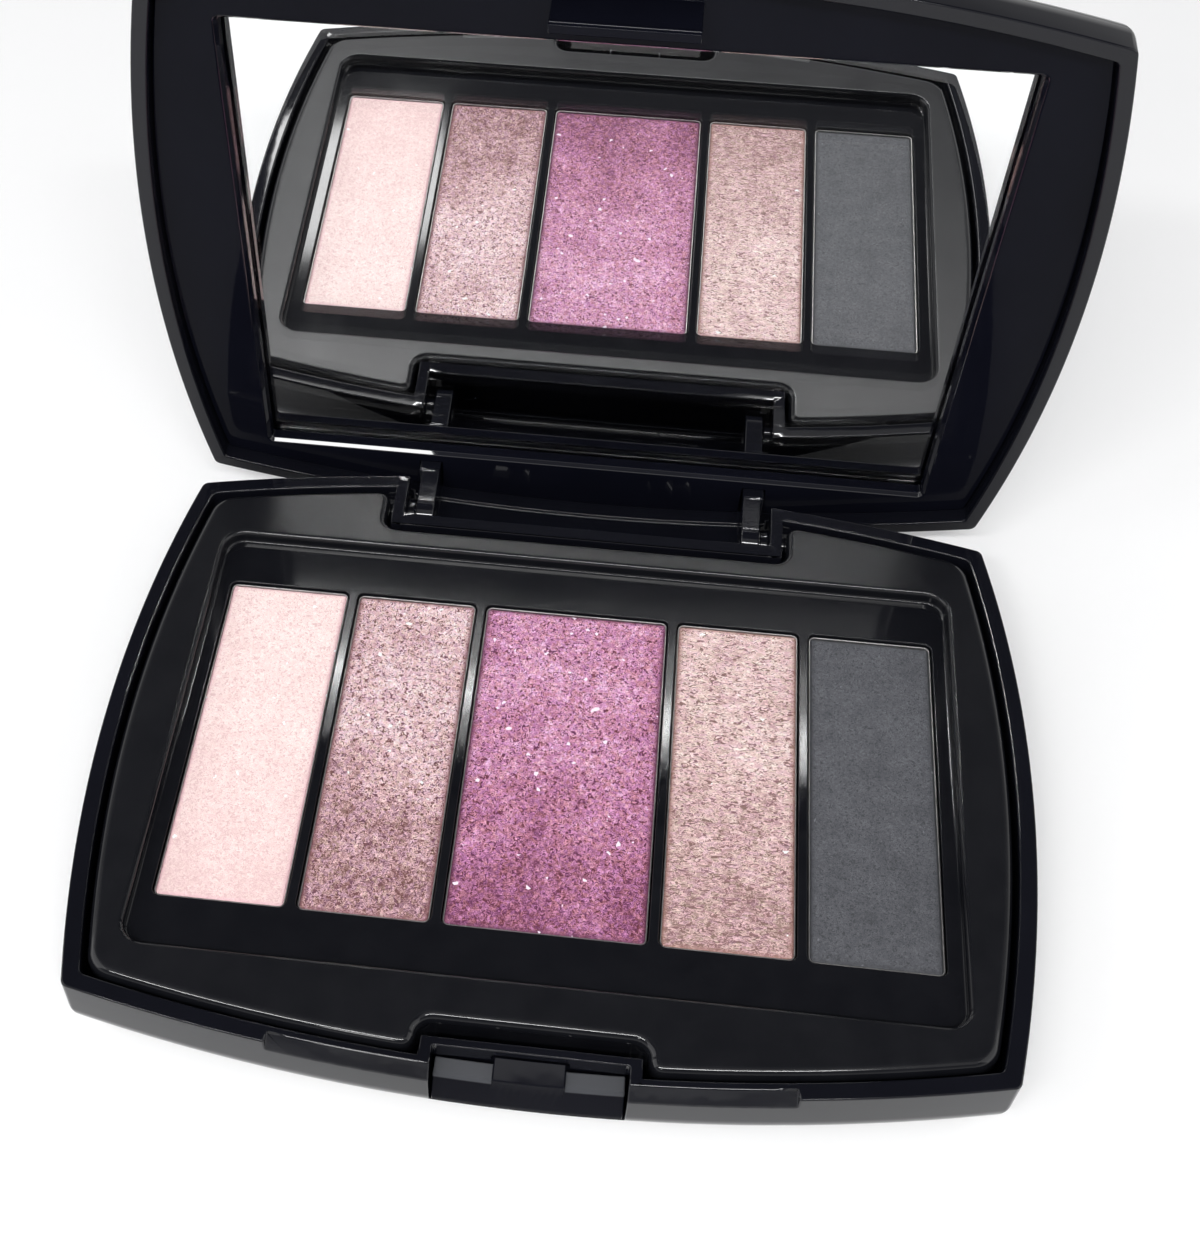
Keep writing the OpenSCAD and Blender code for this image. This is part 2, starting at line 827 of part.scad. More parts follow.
base_shell();
pan_tray();
pan(0);  // pan_1
pan(1);  // pan_2
pan(2);  // pan_3
pan(3);  // pan_4
pan(4);  // pan_5
powder(0);  // powder_1
powder(1);  // powder_2
powder(2);  // powder_3
powder(3);  // powder_4
powder(4);  // powder_5
pan_adhesive();
latch_button();
latch_spring();
hinge_pin(-1);  // hinge_pin_left
hinge_pin(1);  // hinge_pin_right
lid_shell();
mirror_frame();
mirror();
mirror_pad();
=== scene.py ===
# %% [markdown]
# # An open eyeshadow palette
# A pressed-powder palette is a flat hinged case: a glossy black base and lid, a satin tray
# that drops into the base, five metal pans of powder in the tray, and a mirror in the lid.
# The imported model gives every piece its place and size, and this script dresses it: shells
# with true curves and soft edges, powders with relief, and a finish for each surface.
# All shapes are modelled in millimetres and turned into metres when they are finished.

import json
import math

import bmesh
import bpy
from mathutils import Matrix, Quaternion, Vector, noise


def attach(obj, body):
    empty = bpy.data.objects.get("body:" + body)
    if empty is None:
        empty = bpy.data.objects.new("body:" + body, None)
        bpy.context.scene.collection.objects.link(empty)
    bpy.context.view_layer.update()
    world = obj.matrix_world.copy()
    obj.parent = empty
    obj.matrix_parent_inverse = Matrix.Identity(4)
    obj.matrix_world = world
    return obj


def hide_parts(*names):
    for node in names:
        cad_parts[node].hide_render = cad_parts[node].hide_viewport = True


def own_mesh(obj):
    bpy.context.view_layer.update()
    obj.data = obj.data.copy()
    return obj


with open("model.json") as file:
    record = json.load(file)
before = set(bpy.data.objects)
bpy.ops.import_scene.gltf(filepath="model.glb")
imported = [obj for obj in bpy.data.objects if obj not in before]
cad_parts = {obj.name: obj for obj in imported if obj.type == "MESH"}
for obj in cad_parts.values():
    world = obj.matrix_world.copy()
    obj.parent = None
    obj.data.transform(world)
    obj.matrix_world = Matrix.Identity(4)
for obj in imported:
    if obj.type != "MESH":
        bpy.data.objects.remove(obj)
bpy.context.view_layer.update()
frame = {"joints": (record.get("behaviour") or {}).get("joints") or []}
scene = bpy.context.scene
MM = 0.001

# %% [markdown]
# ## Finishes
# Plastic, metal, glass and powder differ in three things: their colour, how sharply they
# mirror the room, and the tiny relief that breaks that mirror up. Each finish below is a
# tree of nodes that varies all three over the surface. The patterns are procedural, so they
# have no pictures behind them and stay sharp at any distance. They read the piece's own
# coordinates in millimetres, so a grain of 0.2 is a grain of 0.2 mm.

# %% Wire nodes
def feed(tree, socket, value):
    """Links another node's output to a socket, or sets the socket's own value."""
    if isinstance(value, bpy.types.NodeSocket):
        tree.links.new(value, socket)
    else:
        socket.default_value = value


def node(tree, kind, inputs=None, **settings):
    """A new node of a kind, with its inputs fed and its settings made."""
    made = tree.nodes.new("ShaderNode" + kind)
    for name, value in settings.items():
        setattr(made, name, value)
    for name, value in (inputs or {}).items():
        feed(tree, made.inputs[name], value)
    return made


def maths(tree, operation, a, b=0.0):
    """One sum on values."""
    made = node(tree, "Math", operation=operation)
    feed(tree, made.inputs[0], a)
    feed(tree, made.inputs[1], b)
    return made.outputs[0]


def vectors(tree, operation, a, b=None, scale=None):
    """One sum on vectors."""
    made = node(tree, "VectorMath", operation=operation)
    feed(tree, made.inputs[0], a)
    if b is not None:
        feed(tree, made.inputs[1], b)
    if scale is not None:
        feed(tree, made.inputs["Scale"], scale)
    return made.outputs[0]


# %% Map, mix and ramp values
def linear(value):
    """A 0 to 255 display value made linear."""
    if value > 10:
        return ((value / 255 + 0.055) / 1.055) ** 2.4
    return value / 255 / 12.92


def tone(r, g, b):
    """A colour from its display values."""
    return tuple(linear(value) for value in (r, g, b))


def spread(tree, value, low, high, to_low=0.0, to_high=1.0):
    """Stretches the range from low to high to another range and clamps the rest."""
    made = node(tree, "MapRange", {"Value": value, "From Min": low, "From Max": high,
                                   "To Min": to_low, "To Max": to_high})
    return made.outputs[0]


# A Mix node has sockets for each kind of data under the same names. These are the colours' numbers.
MIX_FACTOR, MIX_LOW, MIX_HIGH, MIX_RESULT = 0, 6, 7, 2


def mix(tree, factor, low, high):
    """Blends two colours."""
    made = node(tree, "Mix", data_type="RGBA")
    feed(tree, made.inputs[MIX_FACTOR], factor)
    feed(tree, made.inputs[MIX_LOW], low)
    feed(tree, made.inputs[MIX_HIGH], high)
    return made.outputs[MIX_RESULT]


def ramp(tree, value, stops):
    """A colour ramp from pairs of place and colour."""
    made = node(tree, "ValToRGB", {"Fac": value})
    elements = made.color_ramp.elements
    while len(elements) < len(stops):
        elements.new(1.0)
    for element, (place, colour) in zip(elements, stops):
        element.position = place
        element.color = (*colour, 1.0)
    return made.outputs[0]


# %% [markdown]
# ## Shared effects
# Four effects turn up on more than one piece: mottle, dust, grain and flakes. Each is built
# once as a node group with named inputs, and every material gives it its own values. All of
# them start from noise or cells, whose sizes are given in millimetres.

# %% Start a node group
def effect(name, takes, gives):
    """An empty node group with its sockets. takes maps names to values, gives lists kinds."""
    group = bpy.data.node_groups.new(name, "ShaderNodeTree")
    group.interface.new_socket(name="Place", in_out="INPUT", socket_type="NodeSocketVector")
    for label, value in takes.items():
        socket = group.interface.new_socket(name=label, in_out="INPUT", socket_type="NodeSocketFloat")
        socket.default_value = value
    for label, kind in gives.items():
        group.interface.new_socket(name=label, in_out="OUTPUT", socket_type="NodeSocket" + kind)
    return group, group.nodes.new("NodeGroupInput").outputs, group.nodes.new("NodeGroupOutput").inputs


def use(tree, group, place, **values):
    """Places an effect in a material, with the material's own values."""
    made = tree.nodes.new("ShaderNodeGroup")
    made.node_tree = group
    feed(tree, made.inputs["Place"], place)
    for label, value in values.items():
        feed(tree, made.inputs[label], value)
    return made.outputs


def soft_noise(tree, place, size, detail, roughness=0.5, distortion=0.0):
    """Noise whose blobs are about size wide."""
    pitch = maths(tree, "DIVIDE", 1.0, size)
    return node(tree, "TexNoise", {"Vector": place, "Scale": pitch, "Detail": detail,
                                   "Roughness": roughness, "Distortion": distortion}).outputs


def cells_of(tree, place, size):
    """Irregular cells about size wide."""
    pitch = maths(tree, "DIVIDE", 1.0, size)
    return node(tree, "TexVoronoi", {"Vector": place, "Scale": pitch}).outputs


MIDDLE = (0.5, 0.5, 0.5)


def drift(tree, place, size, amount):
    """Bends places about by a soft noise, so that cells and specks lose their straight sides."""
    wobble = soft_noise(tree, place, size, 1.0)["Color"]
    centred = vectors(tree, "SUBTRACT", wobble, MIDDLE)
    return vectors(tree, "ADD", place, vectors(tree, "SCALE", centred, scale=amount))


# %% Mottle: the uneven sheen of handled plastic
mottle, takes, gives = effect("mottle", {"Size": 5.0, "Low": 0.0, "High": 1.0}, {"Value": "Float"})
cloud = soft_noise(mottle, takes["Place"], takes["Size"], 4.0, 0.6)[0]
feed(mottle, gives["Value"], spread(mottle, cloud, 0.25, 0.75, takes["Low"], takes["High"]))

# %% Dust: a few pale specks of uneven size
dust, takes, gives = effect("dust", {"Spacing": 3.0, "Speck": 0.12, "Share": 0.5}, {"Mask": "Float"})
ragged = drift(dust, takes["Place"], takes["Speck"], takes["Speck"])
cells = cells_of(dust, ragged, takes["Spacing"])
chance = node(dust, "SeparateColor", {"Color": cells["Color"]}).outputs
reach = maths(dust, "MULTIPLY", takes["Speck"], spread(dust, chance[1], 0.0, 1.0, 0.15, 0.5))
away = maths(dust, "MULTIPLY", cells["Distance"], takes["Spacing"])
near = maths(dust, "LESS_THAN", away, reach)
chosen = maths(dust, "LESS_THAN", chance[0], takes["Share"])
feed(dust, gives["Mask"], maths(dust, "MULTIPLY", near, chosen))

# %% Grain: the fine relief of a moulded or pressed surface
grain, takes, gives = effect("grain", {"Size": 0.2}, {"Height": "Float"})
feed(grain, gives["Height"], soft_noise(grain, takes["Place"], takes["Size"], 3.0, 0.55)[0])

# %% Flakes: mica platelets that lie at slightly different angles
flakes, takes, gives = effect("flakes", {"Size": 0.2, "Waver": 0.3, "Tilt": 0.3, "Glints": 0.05},
                              {"Light": "Float", "Cast": "Float", "Glint": "Float", "Normal": "Vector"})
bent = drift(flakes, takes["Place"], maths(flakes, "MULTIPLY", takes["Size"], 1.6), takes["Waver"])
lie = cells_of(flakes, bent, takes["Size"])["Color"]
angles = node(flakes, "SeparateColor", {"Color": lie}).outputs
veins = soft_noise(flakes, bent, takes["Size"], 1.5, distortion=1.6)[0]
off_vein = maths(flakes, "ABSOLUTE", maths(flakes, "SUBTRACT", veins, 0.5))
streaks = spread(flakes, off_vein, 0.0, 0.10, 1.0, 0.0)
clumps = spread(flakes, veins, 0.35, 0.65)
light = 0.0
for value, share in [(angles[0], 0.20), (streaks, 0.46), (clumps, 0.34)]:
    light = maths(flakes, "ADD", maths(flakes, "MULTIPLY", value, share), light)
# Light is a made-up brightness for each flake and streak. The powders paint it into their colour, partly
# as their own tone and partly as painted highlights of flakes that mirror the lamp, and also use it as
# relief.
feed(flakes, gives["Light"], light)
feed(flakes, gives["Cast"], angles[2])
# Glint marks the few flakes that the powders paint near white, as painted glints.
feed(flakes, gives["Glint"], maths(flakes, "LESS_THAN", angles[1], takes["Glints"]))
lean = vectors(flakes, "SCALE", vectors(flakes, "SUBTRACT", lie, MIDDLE), scale=takes["Tilt"])
flat = node(flakes, "NewGeometry").outputs["Normal"]
feed(flakes, gives["Normal"], vectors(flakes, "NORMALIZE", vectors(flakes, "ADD", flat, lean)))
print("effects:", [group.name for group in bpy.data.node_groups])


# %% Start a material
def finish(name, roughness=0.5, metallic=0.0):
    """A new material: its tree, its shader's inputs and its places in millimetres."""
    material = bpy.data.materials.new(name)
    material.use_nodes = True
    tree = material.node_tree
    shader = tree.nodes["Principled BSDF"].inputs
    shader["Roughness"].default_value = roughness
    shader["Metallic"].default_value = metallic
    place = vectors(tree, "SCALE", node(tree, "TexCoord").outputs["Object"], scale=1000.0)
    return material, tree, shader, place


def relief_normal(tree, height, depth, normal=None):
    """Bump from a 0 to 1 height that stands for depth millimetres."""
    bump = node(tree, "Bump", {"Height": height, "Distance": depth * MM, "Strength": 1.0})
    if normal is not None:
        feed(tree, bump.inputs["Normal"], normal)
    return bump.outputs["Normal"]


# %% [markdown]
# ## Black plastics
# The case is polished styrene, so its black comes from what it mirrors: the colour under the
# gloss is almost nothing, with a trace of blue. Its gloss isn't even, though. Handling leaves
# a thin haze in clouds, the mould leaves long, very low waves, and dust settles on top. How
# strongly it mirrors follows from its index of refraction: low on the frame and the button,
# which stay nearly black, and high on the lips of the mirror's window, which glint. A band of
# the button's brow beside the finger rib is painted grey, a painted sheen that stands in for
# the bright room that the brow mirrors, and the band is also rougher. A finish without dust
# or the painted sheen leaves those nodes out, and a value that is the same all over is set on
# the shader itself, where it stays one number.
#
# The tray is the same plastic from a mould that was blasted, so its land is satin. Its recess
# and ribs were polished, so they shine. The two finishes are told apart by their height.

# %% Polished case plastic
CASE_IOR = 1.38
BUTTON_IOR = 1.15
FRAME_IOR = 1.16
LIP_IOR = 1.6
PALE_DUST = (0.22, 0.21, 0.21, 1)
# A painted sheen on the button's brow: its grey colour, and where its band lies, beside the finger rib
# and above a height.
BROW_SHEEN_GREY = (0.055, 0.057, 0.063, 1)
BROW_SHEEN_BESIDE = (2.97, 3.0)
BROW_SHEEN_ABOVE = (5.15, 5.25)
CASE_BLACK = (0.0045, 0.0048, 0.0075)
BUTTON_BLACK = (0.004, 0.0042, 0.007)
FRAME_BLACK = (0.0035, 0.0038, 0.007)


def black_gloss(name, colour, ior, haze, dusty, painted_brow_sheen=False):
    """haze is the lowest and highest roughness, dusty the share of places with a speck."""
    material, tree, shader, place = finish(name)
    tint = use(tree, mottle, place, Size=16.0, Low=0.0, High=1.0)["Value"]
    under = mix(tree, tint, (*[c * 0.8 for c in colour], 1), (*[c * 1.25 for c in colour], 1))
    rough = use(tree, mottle, place, Size=7.0, Low=haze[0], High=haze[1])["Value"]
    # Painted sheen: a grey band on the brow stands in for the bright room it mirrors, and the band is
    # also rougher.
    if painted_brow_sheen:
        axes = node(tree, "SeparateXYZ", {"Vector": place}).outputs
        beside = spread(tree, maths(tree, "ABSOLUTE", axes[0]), *BROW_SHEEN_BESIDE)
        sheen_band = maths(tree, "MULTIPLY", beside, spread(tree, axes[2], *BROW_SHEEN_ABOVE))
        under = mix(tree, sheen_band, under, BROW_SHEEN_GREY)
        rough = maths(tree, "ADD", rough, maths(tree, "MULTIPLY", sheen_band, 0.35))
    if dusty:
        specks = use(tree, dust, place, Spacing=2.6, Speck=0.13, Share=dusty)["Mask"]
        under = mix(tree, specks, under, PALE_DUST)
        rough = maths(tree, "ADD", rough, maths(tree, "MULTIPLY", specks, 0.5))
    feed(tree, shader["Base Color"], under)
    feed(tree, shader["Roughness"], rough)
    waves = use(tree, grain, place, Size=9.0)["Height"]
    feed(tree, shader["Normal"], relief_normal(tree, waves, 0.02))
    shader["IOR"].default_value = ior
    return material


case_gloss = black_gloss("polished case plastic", CASE_BLACK, CASE_IOR, (0.02, 0.07), 0.05)
# The button's finish carries the painted sheen band on its brow.
button_gloss = black_gloss("polished button plastic", BUTTON_BLACK, BUTTON_IOR, (0.03, 0.07), 0.05, True)
panel_gloss = black_gloss("polished frame plastic", FRAME_BLACK, FRAME_IOR, (0.02, 0.06), 0.07)
lip_gloss = black_gloss("polished lip plastic", FRAME_BLACK, LIP_IOR, (0.01, 0.03), 0.0)
print("polished finishes:", [m.name for m in (case_gloss, button_gloss, panel_gloss, lip_gloss)])

# %% Satin tray plastic
LAND_HEIGHT = (8.0, 8.09)
tray_satin, tree, shader, place = finish("satin tray plastic")
height = node(tree, "SeparateXYZ", {"Vector": place}).outputs[2]
land = spread(tree, height, *LAND_HEIGHT)
satin = use(tree, mottle, place, Size=4.5, Low=0.30, High=0.38)["Value"]
polish = use(tree, mottle, place, Size=6.0, Low=0.05, High=0.09)["Value"]
duller = maths(tree, "SUBTRACT", satin, polish)
rough = maths(tree, "ADD", polish, maths(tree, "MULTIPLY", duller, land))
specks = use(tree, dust, place, Spacing=2.0, Speck=0.12, Share=0.10)["Mask"]
feed(tree, shader["Roughness"], maths(tree, "ADD", rough, maths(tree, "MULTIPLY", specks, 0.4)))
tint = use(tree, mottle, place, Size=3.0, Low=0.0, High=1.0)["Value"]
black = mix(tree, tint, (0.0045, 0.0048, 0.0065, 1), (0.0075, 0.0078, 0.0098, 1))
feed(tree, shader["Base Color"], mix(tree, specks, black, (0.30, 0.27, 0.26, 1)))
blasted = use(tree, grain, place, Size=0.22)["Height"]
feed(tree, shader["Normal"], relief_normal(tree, maths(tree, "MULTIPLY", blasted, land), 0.006))
shader["IOR"].default_value = CASE_IOR
print("tray finish:", tray_satin.name, "with its land above", LAND_HEIGHT[0], "mm")

# %% [markdown]
# ## Metals, glue and foam
# The pans are drawn from thin tinned sheet, so fine lines run along them, and powder dust
# dulls them. The hinge pins and the spring are drawn wire. The glue under the pans is a film
# of clear adhesive, and the mirror sits on a strip of closed-cell foam. These hide in the
# closed assembly, but a piece taken apart should still look like what it is.

# %% Drawn metal
def drawn_metal(name, colour, direction, roughness, dusty):
    """direction is small along the drawn lines, and dusty the share of spots with powder dust."""
    material, tree, shader, place = finish(name, metallic=1.0)
    along = node(tree, "Mapping", {"Vector": place, "Scale": direction}).outputs[0]
    lines = use(tree, grain, along, Size=0.08)["Height"]
    tarnish = use(tree, mottle, place, Size=1.6, Low=0.0, High=1.0)["Value"]
    dull = tuple(c * 0.6 for c in colour)
    feed(tree, shader["Base Color"], mix(tree, tarnish, (*colour, 1), (*dull, 1)))
    feed(tree, shader["Roughness"], spread(tree, lines, 0.3, 0.7, roughness, roughness + 0.18))
    feed(tree, shader["Normal"], relief_normal(tree, lines, 0.004))
    if dusty:
        veil = use(tree, dust, place, Spacing=0.5, Speck=0.16, Share=dusty)["Mask"]
        feed(tree, shader["Metallic"], maths(tree, "SUBTRACT", 1.0, maths(tree, "MULTIPLY", veil, 0.8)))
    return material


pan_metal = drawn_metal("drawn pan sheet", (0.42, 0.41, 0.40), (1, 1, 0.06), 0.34, 0.35)
pin_steel = drawn_metal("drawn pin steel", (0.58, 0.58, 0.59), (0.05, 1, 1), 0.22, 0.0)
wire_steel = drawn_metal("drawn spring wire", (0.50, 0.50, 0.52), (1, 0.2, 1), 0.26, 0.0)
print("metals:", [metal.name for metal in (pan_metal, pin_steel, wire_steel)])


# %% Adhesive film and foam
def soft_filler(name, light, dark, cell, depth, roughness):
    """A film or foam of small bubbles, whose width is cell."""
    material, tree, shader, place = finish(name)
    bent = drift(tree, place, cell * 2, cell)
    bubbles = node(tree, "TexVoronoi", {"Vector": bent, "Scale": 1.0 / cell}).outputs
    wall = spread(tree, bubbles["Distance"], 0.15, 0.75)
    feed(tree, shader["Base Color"], mix(tree, wall, (*light, 1), (*dark, 1)))
    feed(tree, shader["Roughness"], spread(tree, wall, 0.0, 1.0, roughness, roughness + 0.15))
    feed(tree, shader["Normal"], relief_normal(tree, wall, depth))
    return material


glue_film = soft_filler("clear adhesive film", (0.62, 0.58, 0.47), (0.50, 0.45, 0.34), 1.1, 0.02, 0.3)
pad_foam = soft_filler("closed-cell foam", (0.045, 0.045, 0.05), (0.02, 0.02, 0.022), 0.16, 0.05, 0.8)
print("fillers:", glue_film.name, "and", pad_foam.name)

# %% [markdown]
# ## Mirror
# The mirror is float glass with silver on its back. A block of glass is modelled with its
# true thickness, and only its back face carries silver, so the picture in it lies a little
# behind the front and the ground edges catch thin bright lines.

# %% Silver and glass
GLASS_IOR = 1.52
mirror_silver, tree, shader, place = finish("mirror silver", roughness=0.0, metallic=1.0)
bloom = use(tree, mottle, place, Size=20.0, Low=0.0, High=1.0)["Value"]
feed(tree, shader["Base Color"], mix(tree, bloom, (0.97, 0.97, 0.97, 1), (0.94, 0.945, 0.95, 1)))

mirror_glass, tree, shader, place = finish("float glass", roughness=0.0)
shader["Transmission Weight"].default_value = 1.0
shader["IOR"].default_value = GLASS_IOR
wipe = use(tree, mottle, place, Size=12.0, Low=0.0, High=1.0)["Value"]
feed(tree, shader["Base Color"], mix(tree, wipe, (1.0, 1.0, 1.0, 1), (0.975, 0.985, 0.98, 1)))
print("mirror finishes:", mirror_silver.name, "and", mirror_glass.name)

# %% [markdown]
# ## Pressed powders
# Eyeshadow is pigment, mica and binder pressed with cloth under a die. A matte shade is all
# pigment and shows only a soft mottle. A shimmer shade is packed with mica flakes that lie
# nearly flat, and each one mirrors the lamp in its own direction, so light and dark flakes
# lie side by side. The colour of each flake carries most of that as painted highlights on top
# of the powder's own tone, a few flakes are painted near white as painted glints, and a slight
# tilt of each flake's normal makes it glitter. Towards the front each cake is made darker. A
# "rim" value on each vertex says how far it is from the pan's wall, because the shoulder
# there is given another, darker tone.

# %% Powder finish
HUE_CAST = 0.042
TONE_PLACES = [0.17, 0.36, 0.58, 0.79]
FRONT_DARK_FROM, FRONT_DARK_TO = -15.0, 1.0
SHOULDER_FROM, SHOULDER_TO = 0.10, 0.50
DULL = 0.65


def powder_finish(name, tones, shoulder, flake, waver, tilt, glints, shimmer, patch, patchy, fade,
                  stretch=(1, 1, 1)):
    """tones are the colours from the darkest flake to the lightest. flake is a flake's size,
    shimmer the share of mica, patch the size of the broad blotches and patchy their strength,
    and fade how much darker the front end is."""
    material, tree, shader, place = finish(name, roughness=DULL)
    laid = node(tree, "Mapping", {"Vector": place, "Scale": stretch}).outputs[0]
    mica = use(tree, flakes, laid, Size=flake, Waver=waver, Tilt=tilt, Glints=glints)
    broad = use(tree, mottle, place, Size=patch, Low=-patchy, High=patchy)["Value"]
    backwards = node(tree, "SeparateXYZ", {"Vector": place}).outputs[1]
    # Each cake is made darker towards the front, by up to fade.
    deeper = spread(tree, backwards, FRONT_DARK_FROM, FRONT_DARK_TO, -fade, 0.0)
    level = maths(tree, "ADD", mica["Light"], maths(tree, "ADD", broad, deeper))
    shade = ramp(tree, level, list(zip(TONE_PLACES, tones)))
    if shimmer:
        cast = HUE_CAST * shimmer
        turned = spread(tree, mica["Cast"], 0.0, 1.0, 0.5 - cast, 0.5 + cast)
        shade = node(tree, "HueSaturation", {"Hue": turned, "Color": shade}).outputs[0]
        feed(tree, shader["Metallic"], spread(tree, level, 0.3, 0.8, 0.0, 0.20 * shimmer))
        feed(tree, shader["Roughness"], spread(tree, level, 0.2, 0.8, DULL, DULL - 0.2 * shimmer))
    # The shoulder within half a millimetre of the pan's wall gets a darker tone.
    rim = node(tree, "Attribute", attribute_name="rim").outputs["Fac"]
    near_wall = spread(tree, rim, SHOULDER_FROM, SHOULDER_TO, 0.7, 0.0)
    shade = mix(tree, near_wall, shade, (*shoulder, 1))
    # Painted glints: the flakes that Glint marks get a near-white colour.
    painted_glint_colour = tuple(min(0.95, 1.12 * c) for c in tones[-1])
    feed(tree, shader["Base Color"], mix(tree, mica["Glint"], shade, (*painted_glint_colour, 1)))
    press = use(tree, grain, place, Size=0.12)["Height"]
    relief = maths(tree, "ADD", press, maths(tree, "MULTIPLY", mica["Light"], 1.5 * shimmer))
    feed(tree, shader["Normal"], relief_normal(tree, relief, 0.03, mica["Normal"]))
    return material


# %% The five shades
powder_shades = [
    powder_finish(
        "pale pink powder",
        [tone(226, 191, 190), tone(242, 213, 210), tone(251, 226, 222), tone(255, 243, 239)],
        shoulder=tone(236, 192, 199), flake=0.30, waver=0.25, tilt=0.08, glints=0.002,
        shimmer=0.12, patch=4.0, patchy=0.10, fade=0.17),
    powder_finish(
        "rose taupe powder",
        [tone(112, 68, 74), tone(199, 155, 160), tone(246, 209, 213), tone(255, 250, 250)],
        shoulder=tone(150, 100, 104), flake=0.34, waver=0.30, tilt=0.35, glints=0.004,
        shimmer=1.0, patch=5.5, patchy=0.12, fade=0.22),
    powder_finish(
        "orchid powder",
        [tone(102, 40, 70), tone(176, 109, 143), tone(225, 156, 191), tone(255, 224, 246)],
        shoulder=tone(112, 54, 86), flake=0.33, waver=0.30, tilt=0.32, glints=0.004,
        shimmer=0.9, patch=6.0, patchy=0.10, fade=0.20),
    powder_finish(
        "champagne powder",
        [tone(138, 102, 100), tone(201, 163, 162), tone(240, 206, 204), tone(255, 244, 240)],
        shoulder=tone(170, 124, 114), flake=0.34, waver=0.30, tilt=0.28, glints=0.003,
        shimmer=0.8, patch=5.0, patchy=0.10, fade=0.17, stretch=(0.6, 1.2, 1)),
    powder_finish(
        "charcoal powder",
        [tone(57, 58, 62), tone(75, 76, 81), tone(86, 87, 92), tone(105, 106, 111)],
        shoulder=tone(58, 59, 63), flake=0.22, waver=0.30, tilt=0.06, glints=0.0006,
        shimmer=0.0, patch=3.0, patchy=0.12, fade=0.06),
]
print("powder shades:", [shade.name for shade in powder_shades])

# %% [markdown]
# ## The case's outline
# Seen from above the case is a barrel: four shallow arcs that meet at four corners. The same
# outline, drawn in by a little each time, makes the shells, the rims, the tray's edge and the
# mirror frame. One function gives the corner for any inset, and another draws a closed loop
# of lines and arcs with a pen: it extrudes a vertex along a line and spins it round an arc.

# %% Sizes of the outline
case_half_w = 42.0
case_half_d = 32.8
side_bulge = 3.0
front_bulge = 4.4
corner_x = case_half_w - side_bulge
corner_y = case_half_d - front_bulge
side_r = (corner_y ** 2 + side_bulge ** 2) / (2 * side_bulge)
front_r = (corner_x ** 2 + front_bulge ** 2) / (2 * front_bulge)
side_centre = side_r - case_half_w
front_centre = front_r - case_half_d
front_y, back_y = -case_half_d, case_half_d
print(f"side arcs of {side_r:.1f} mm, front and back arcs of {front_r:.1f} mm")


# %% Corners and edges of the outline
def corner_at(inset):
    """Corner of the outline drawn in by inset, where the right arc meets the back arc."""
    side_reach = side_r - inset
    front_reach = front_r - inset
    apart = math.hypot(side_centre, front_centre)
    along = (side_reach ** 2 - front_reach ** 2 + apart ** 2) / (2 * apart)
    across = math.sqrt(side_reach ** 2 - along ** 2)
    way = Vector((side_centre, -front_centre)) / apart
    return Vector((-side_centre, 0)) + along * way + across * Vector((-way.y, way.x))


def edge_y(x, inset=0.0):
    """Distance of the front or back edge from the middle, at a distance x to the side."""
    return math.sqrt((front_r - inset) ** 2 - x ** 2) - front_centre


print("corner at", [round(v, 2) for v in corner_at(0.0)])


# %% Draw a closed loop with a pen
def draw_loop(bm, start, strokes, z, radii, steps):
    """Draws a closed loop at height z and returns its edges. Each stroke is the point that it
    ends at, the centre of its arc or None for a line, and its number of steps. The corners at
    the strokes' ends are rounded to radii."""
    before = set(bm.edges)
    tip = bmesh.ops.create_vert(bm, co=(*start, z))["vert"][0]
    first = tip
    ends = []
    here = Vector(start)
    for end, centre, arc_steps in strokes:
        end = Vector(end)
        if centre is None:
            tip = bmesh.ops.extrude_vert_indiv(bm, verts=[tip])["verts"][0]
            tip.co = (*end, z)
        else:
            centre = Vector(centre)
            turn = -(here - centre).angle_signed(end - centre)
            made = bmesh.ops.spin(bm, geom=[tip], cent=(*centre, z), axis=(0, 0, 1),
                                  angle=turn, steps=arc_steps)
            tip = [g for g in made["geom_last"] if isinstance(g, bmesh.types.BMVert)][0]
        ends.append(tip)
        here = end
    first.co = tip.co
    bmesh.ops.weld_verts(bm, targetmap={tip: first})
    ends[-1] = first
    for vert, radius in zip(ends, radii):
        bmesh.ops.bevel(bm, geom=[vert], affect="VERTICES", offset=radius,
                        segments=steps, profile=0.5, material=-1, clamp_overlap=False)
    return [e for e in bm.edges if e not in before]


# %% [markdown]
# ## From loops to solids
# A moulded shell is a stack of such loops: up the outer wall, over the rim, down the inner
# wall. Bridging one loop to the next and filling the two ends gives one closed skin, with as
# many steps as a rounded edge needs. A section is a list of pairs: how far the loop is drawn
# in, and its height. Openings and housings are cut and joined exactly with booleans, as a
# mould maker adds inserts to a simple cavity.

# %% Bridge a run of loops
MERGE = 0.001


def together(*parts):
    """One mesh of several."""
    bm = bmesh.new()
    for part in parts:
        mesh = bpy.data.meshes.new("part")
        part.to_mesh(mesh)
        part.free()
        bm.from_mesh(mesh)
        bpy.data.meshes.remove(mesh)
    return bm


def band(low, high):
    """The skin between two rings."""
    bm = bmesh.new()
    bmesh.ops.bridge_loops(bm, edges=low(bm) + high(bm))
    return bm


def cap(ring):
    """A face that closes a ring."""
    bm = bmesh.new()
    bmesh.ops.edgeloop_fill(bm, edges=ring(bm))
    return bm


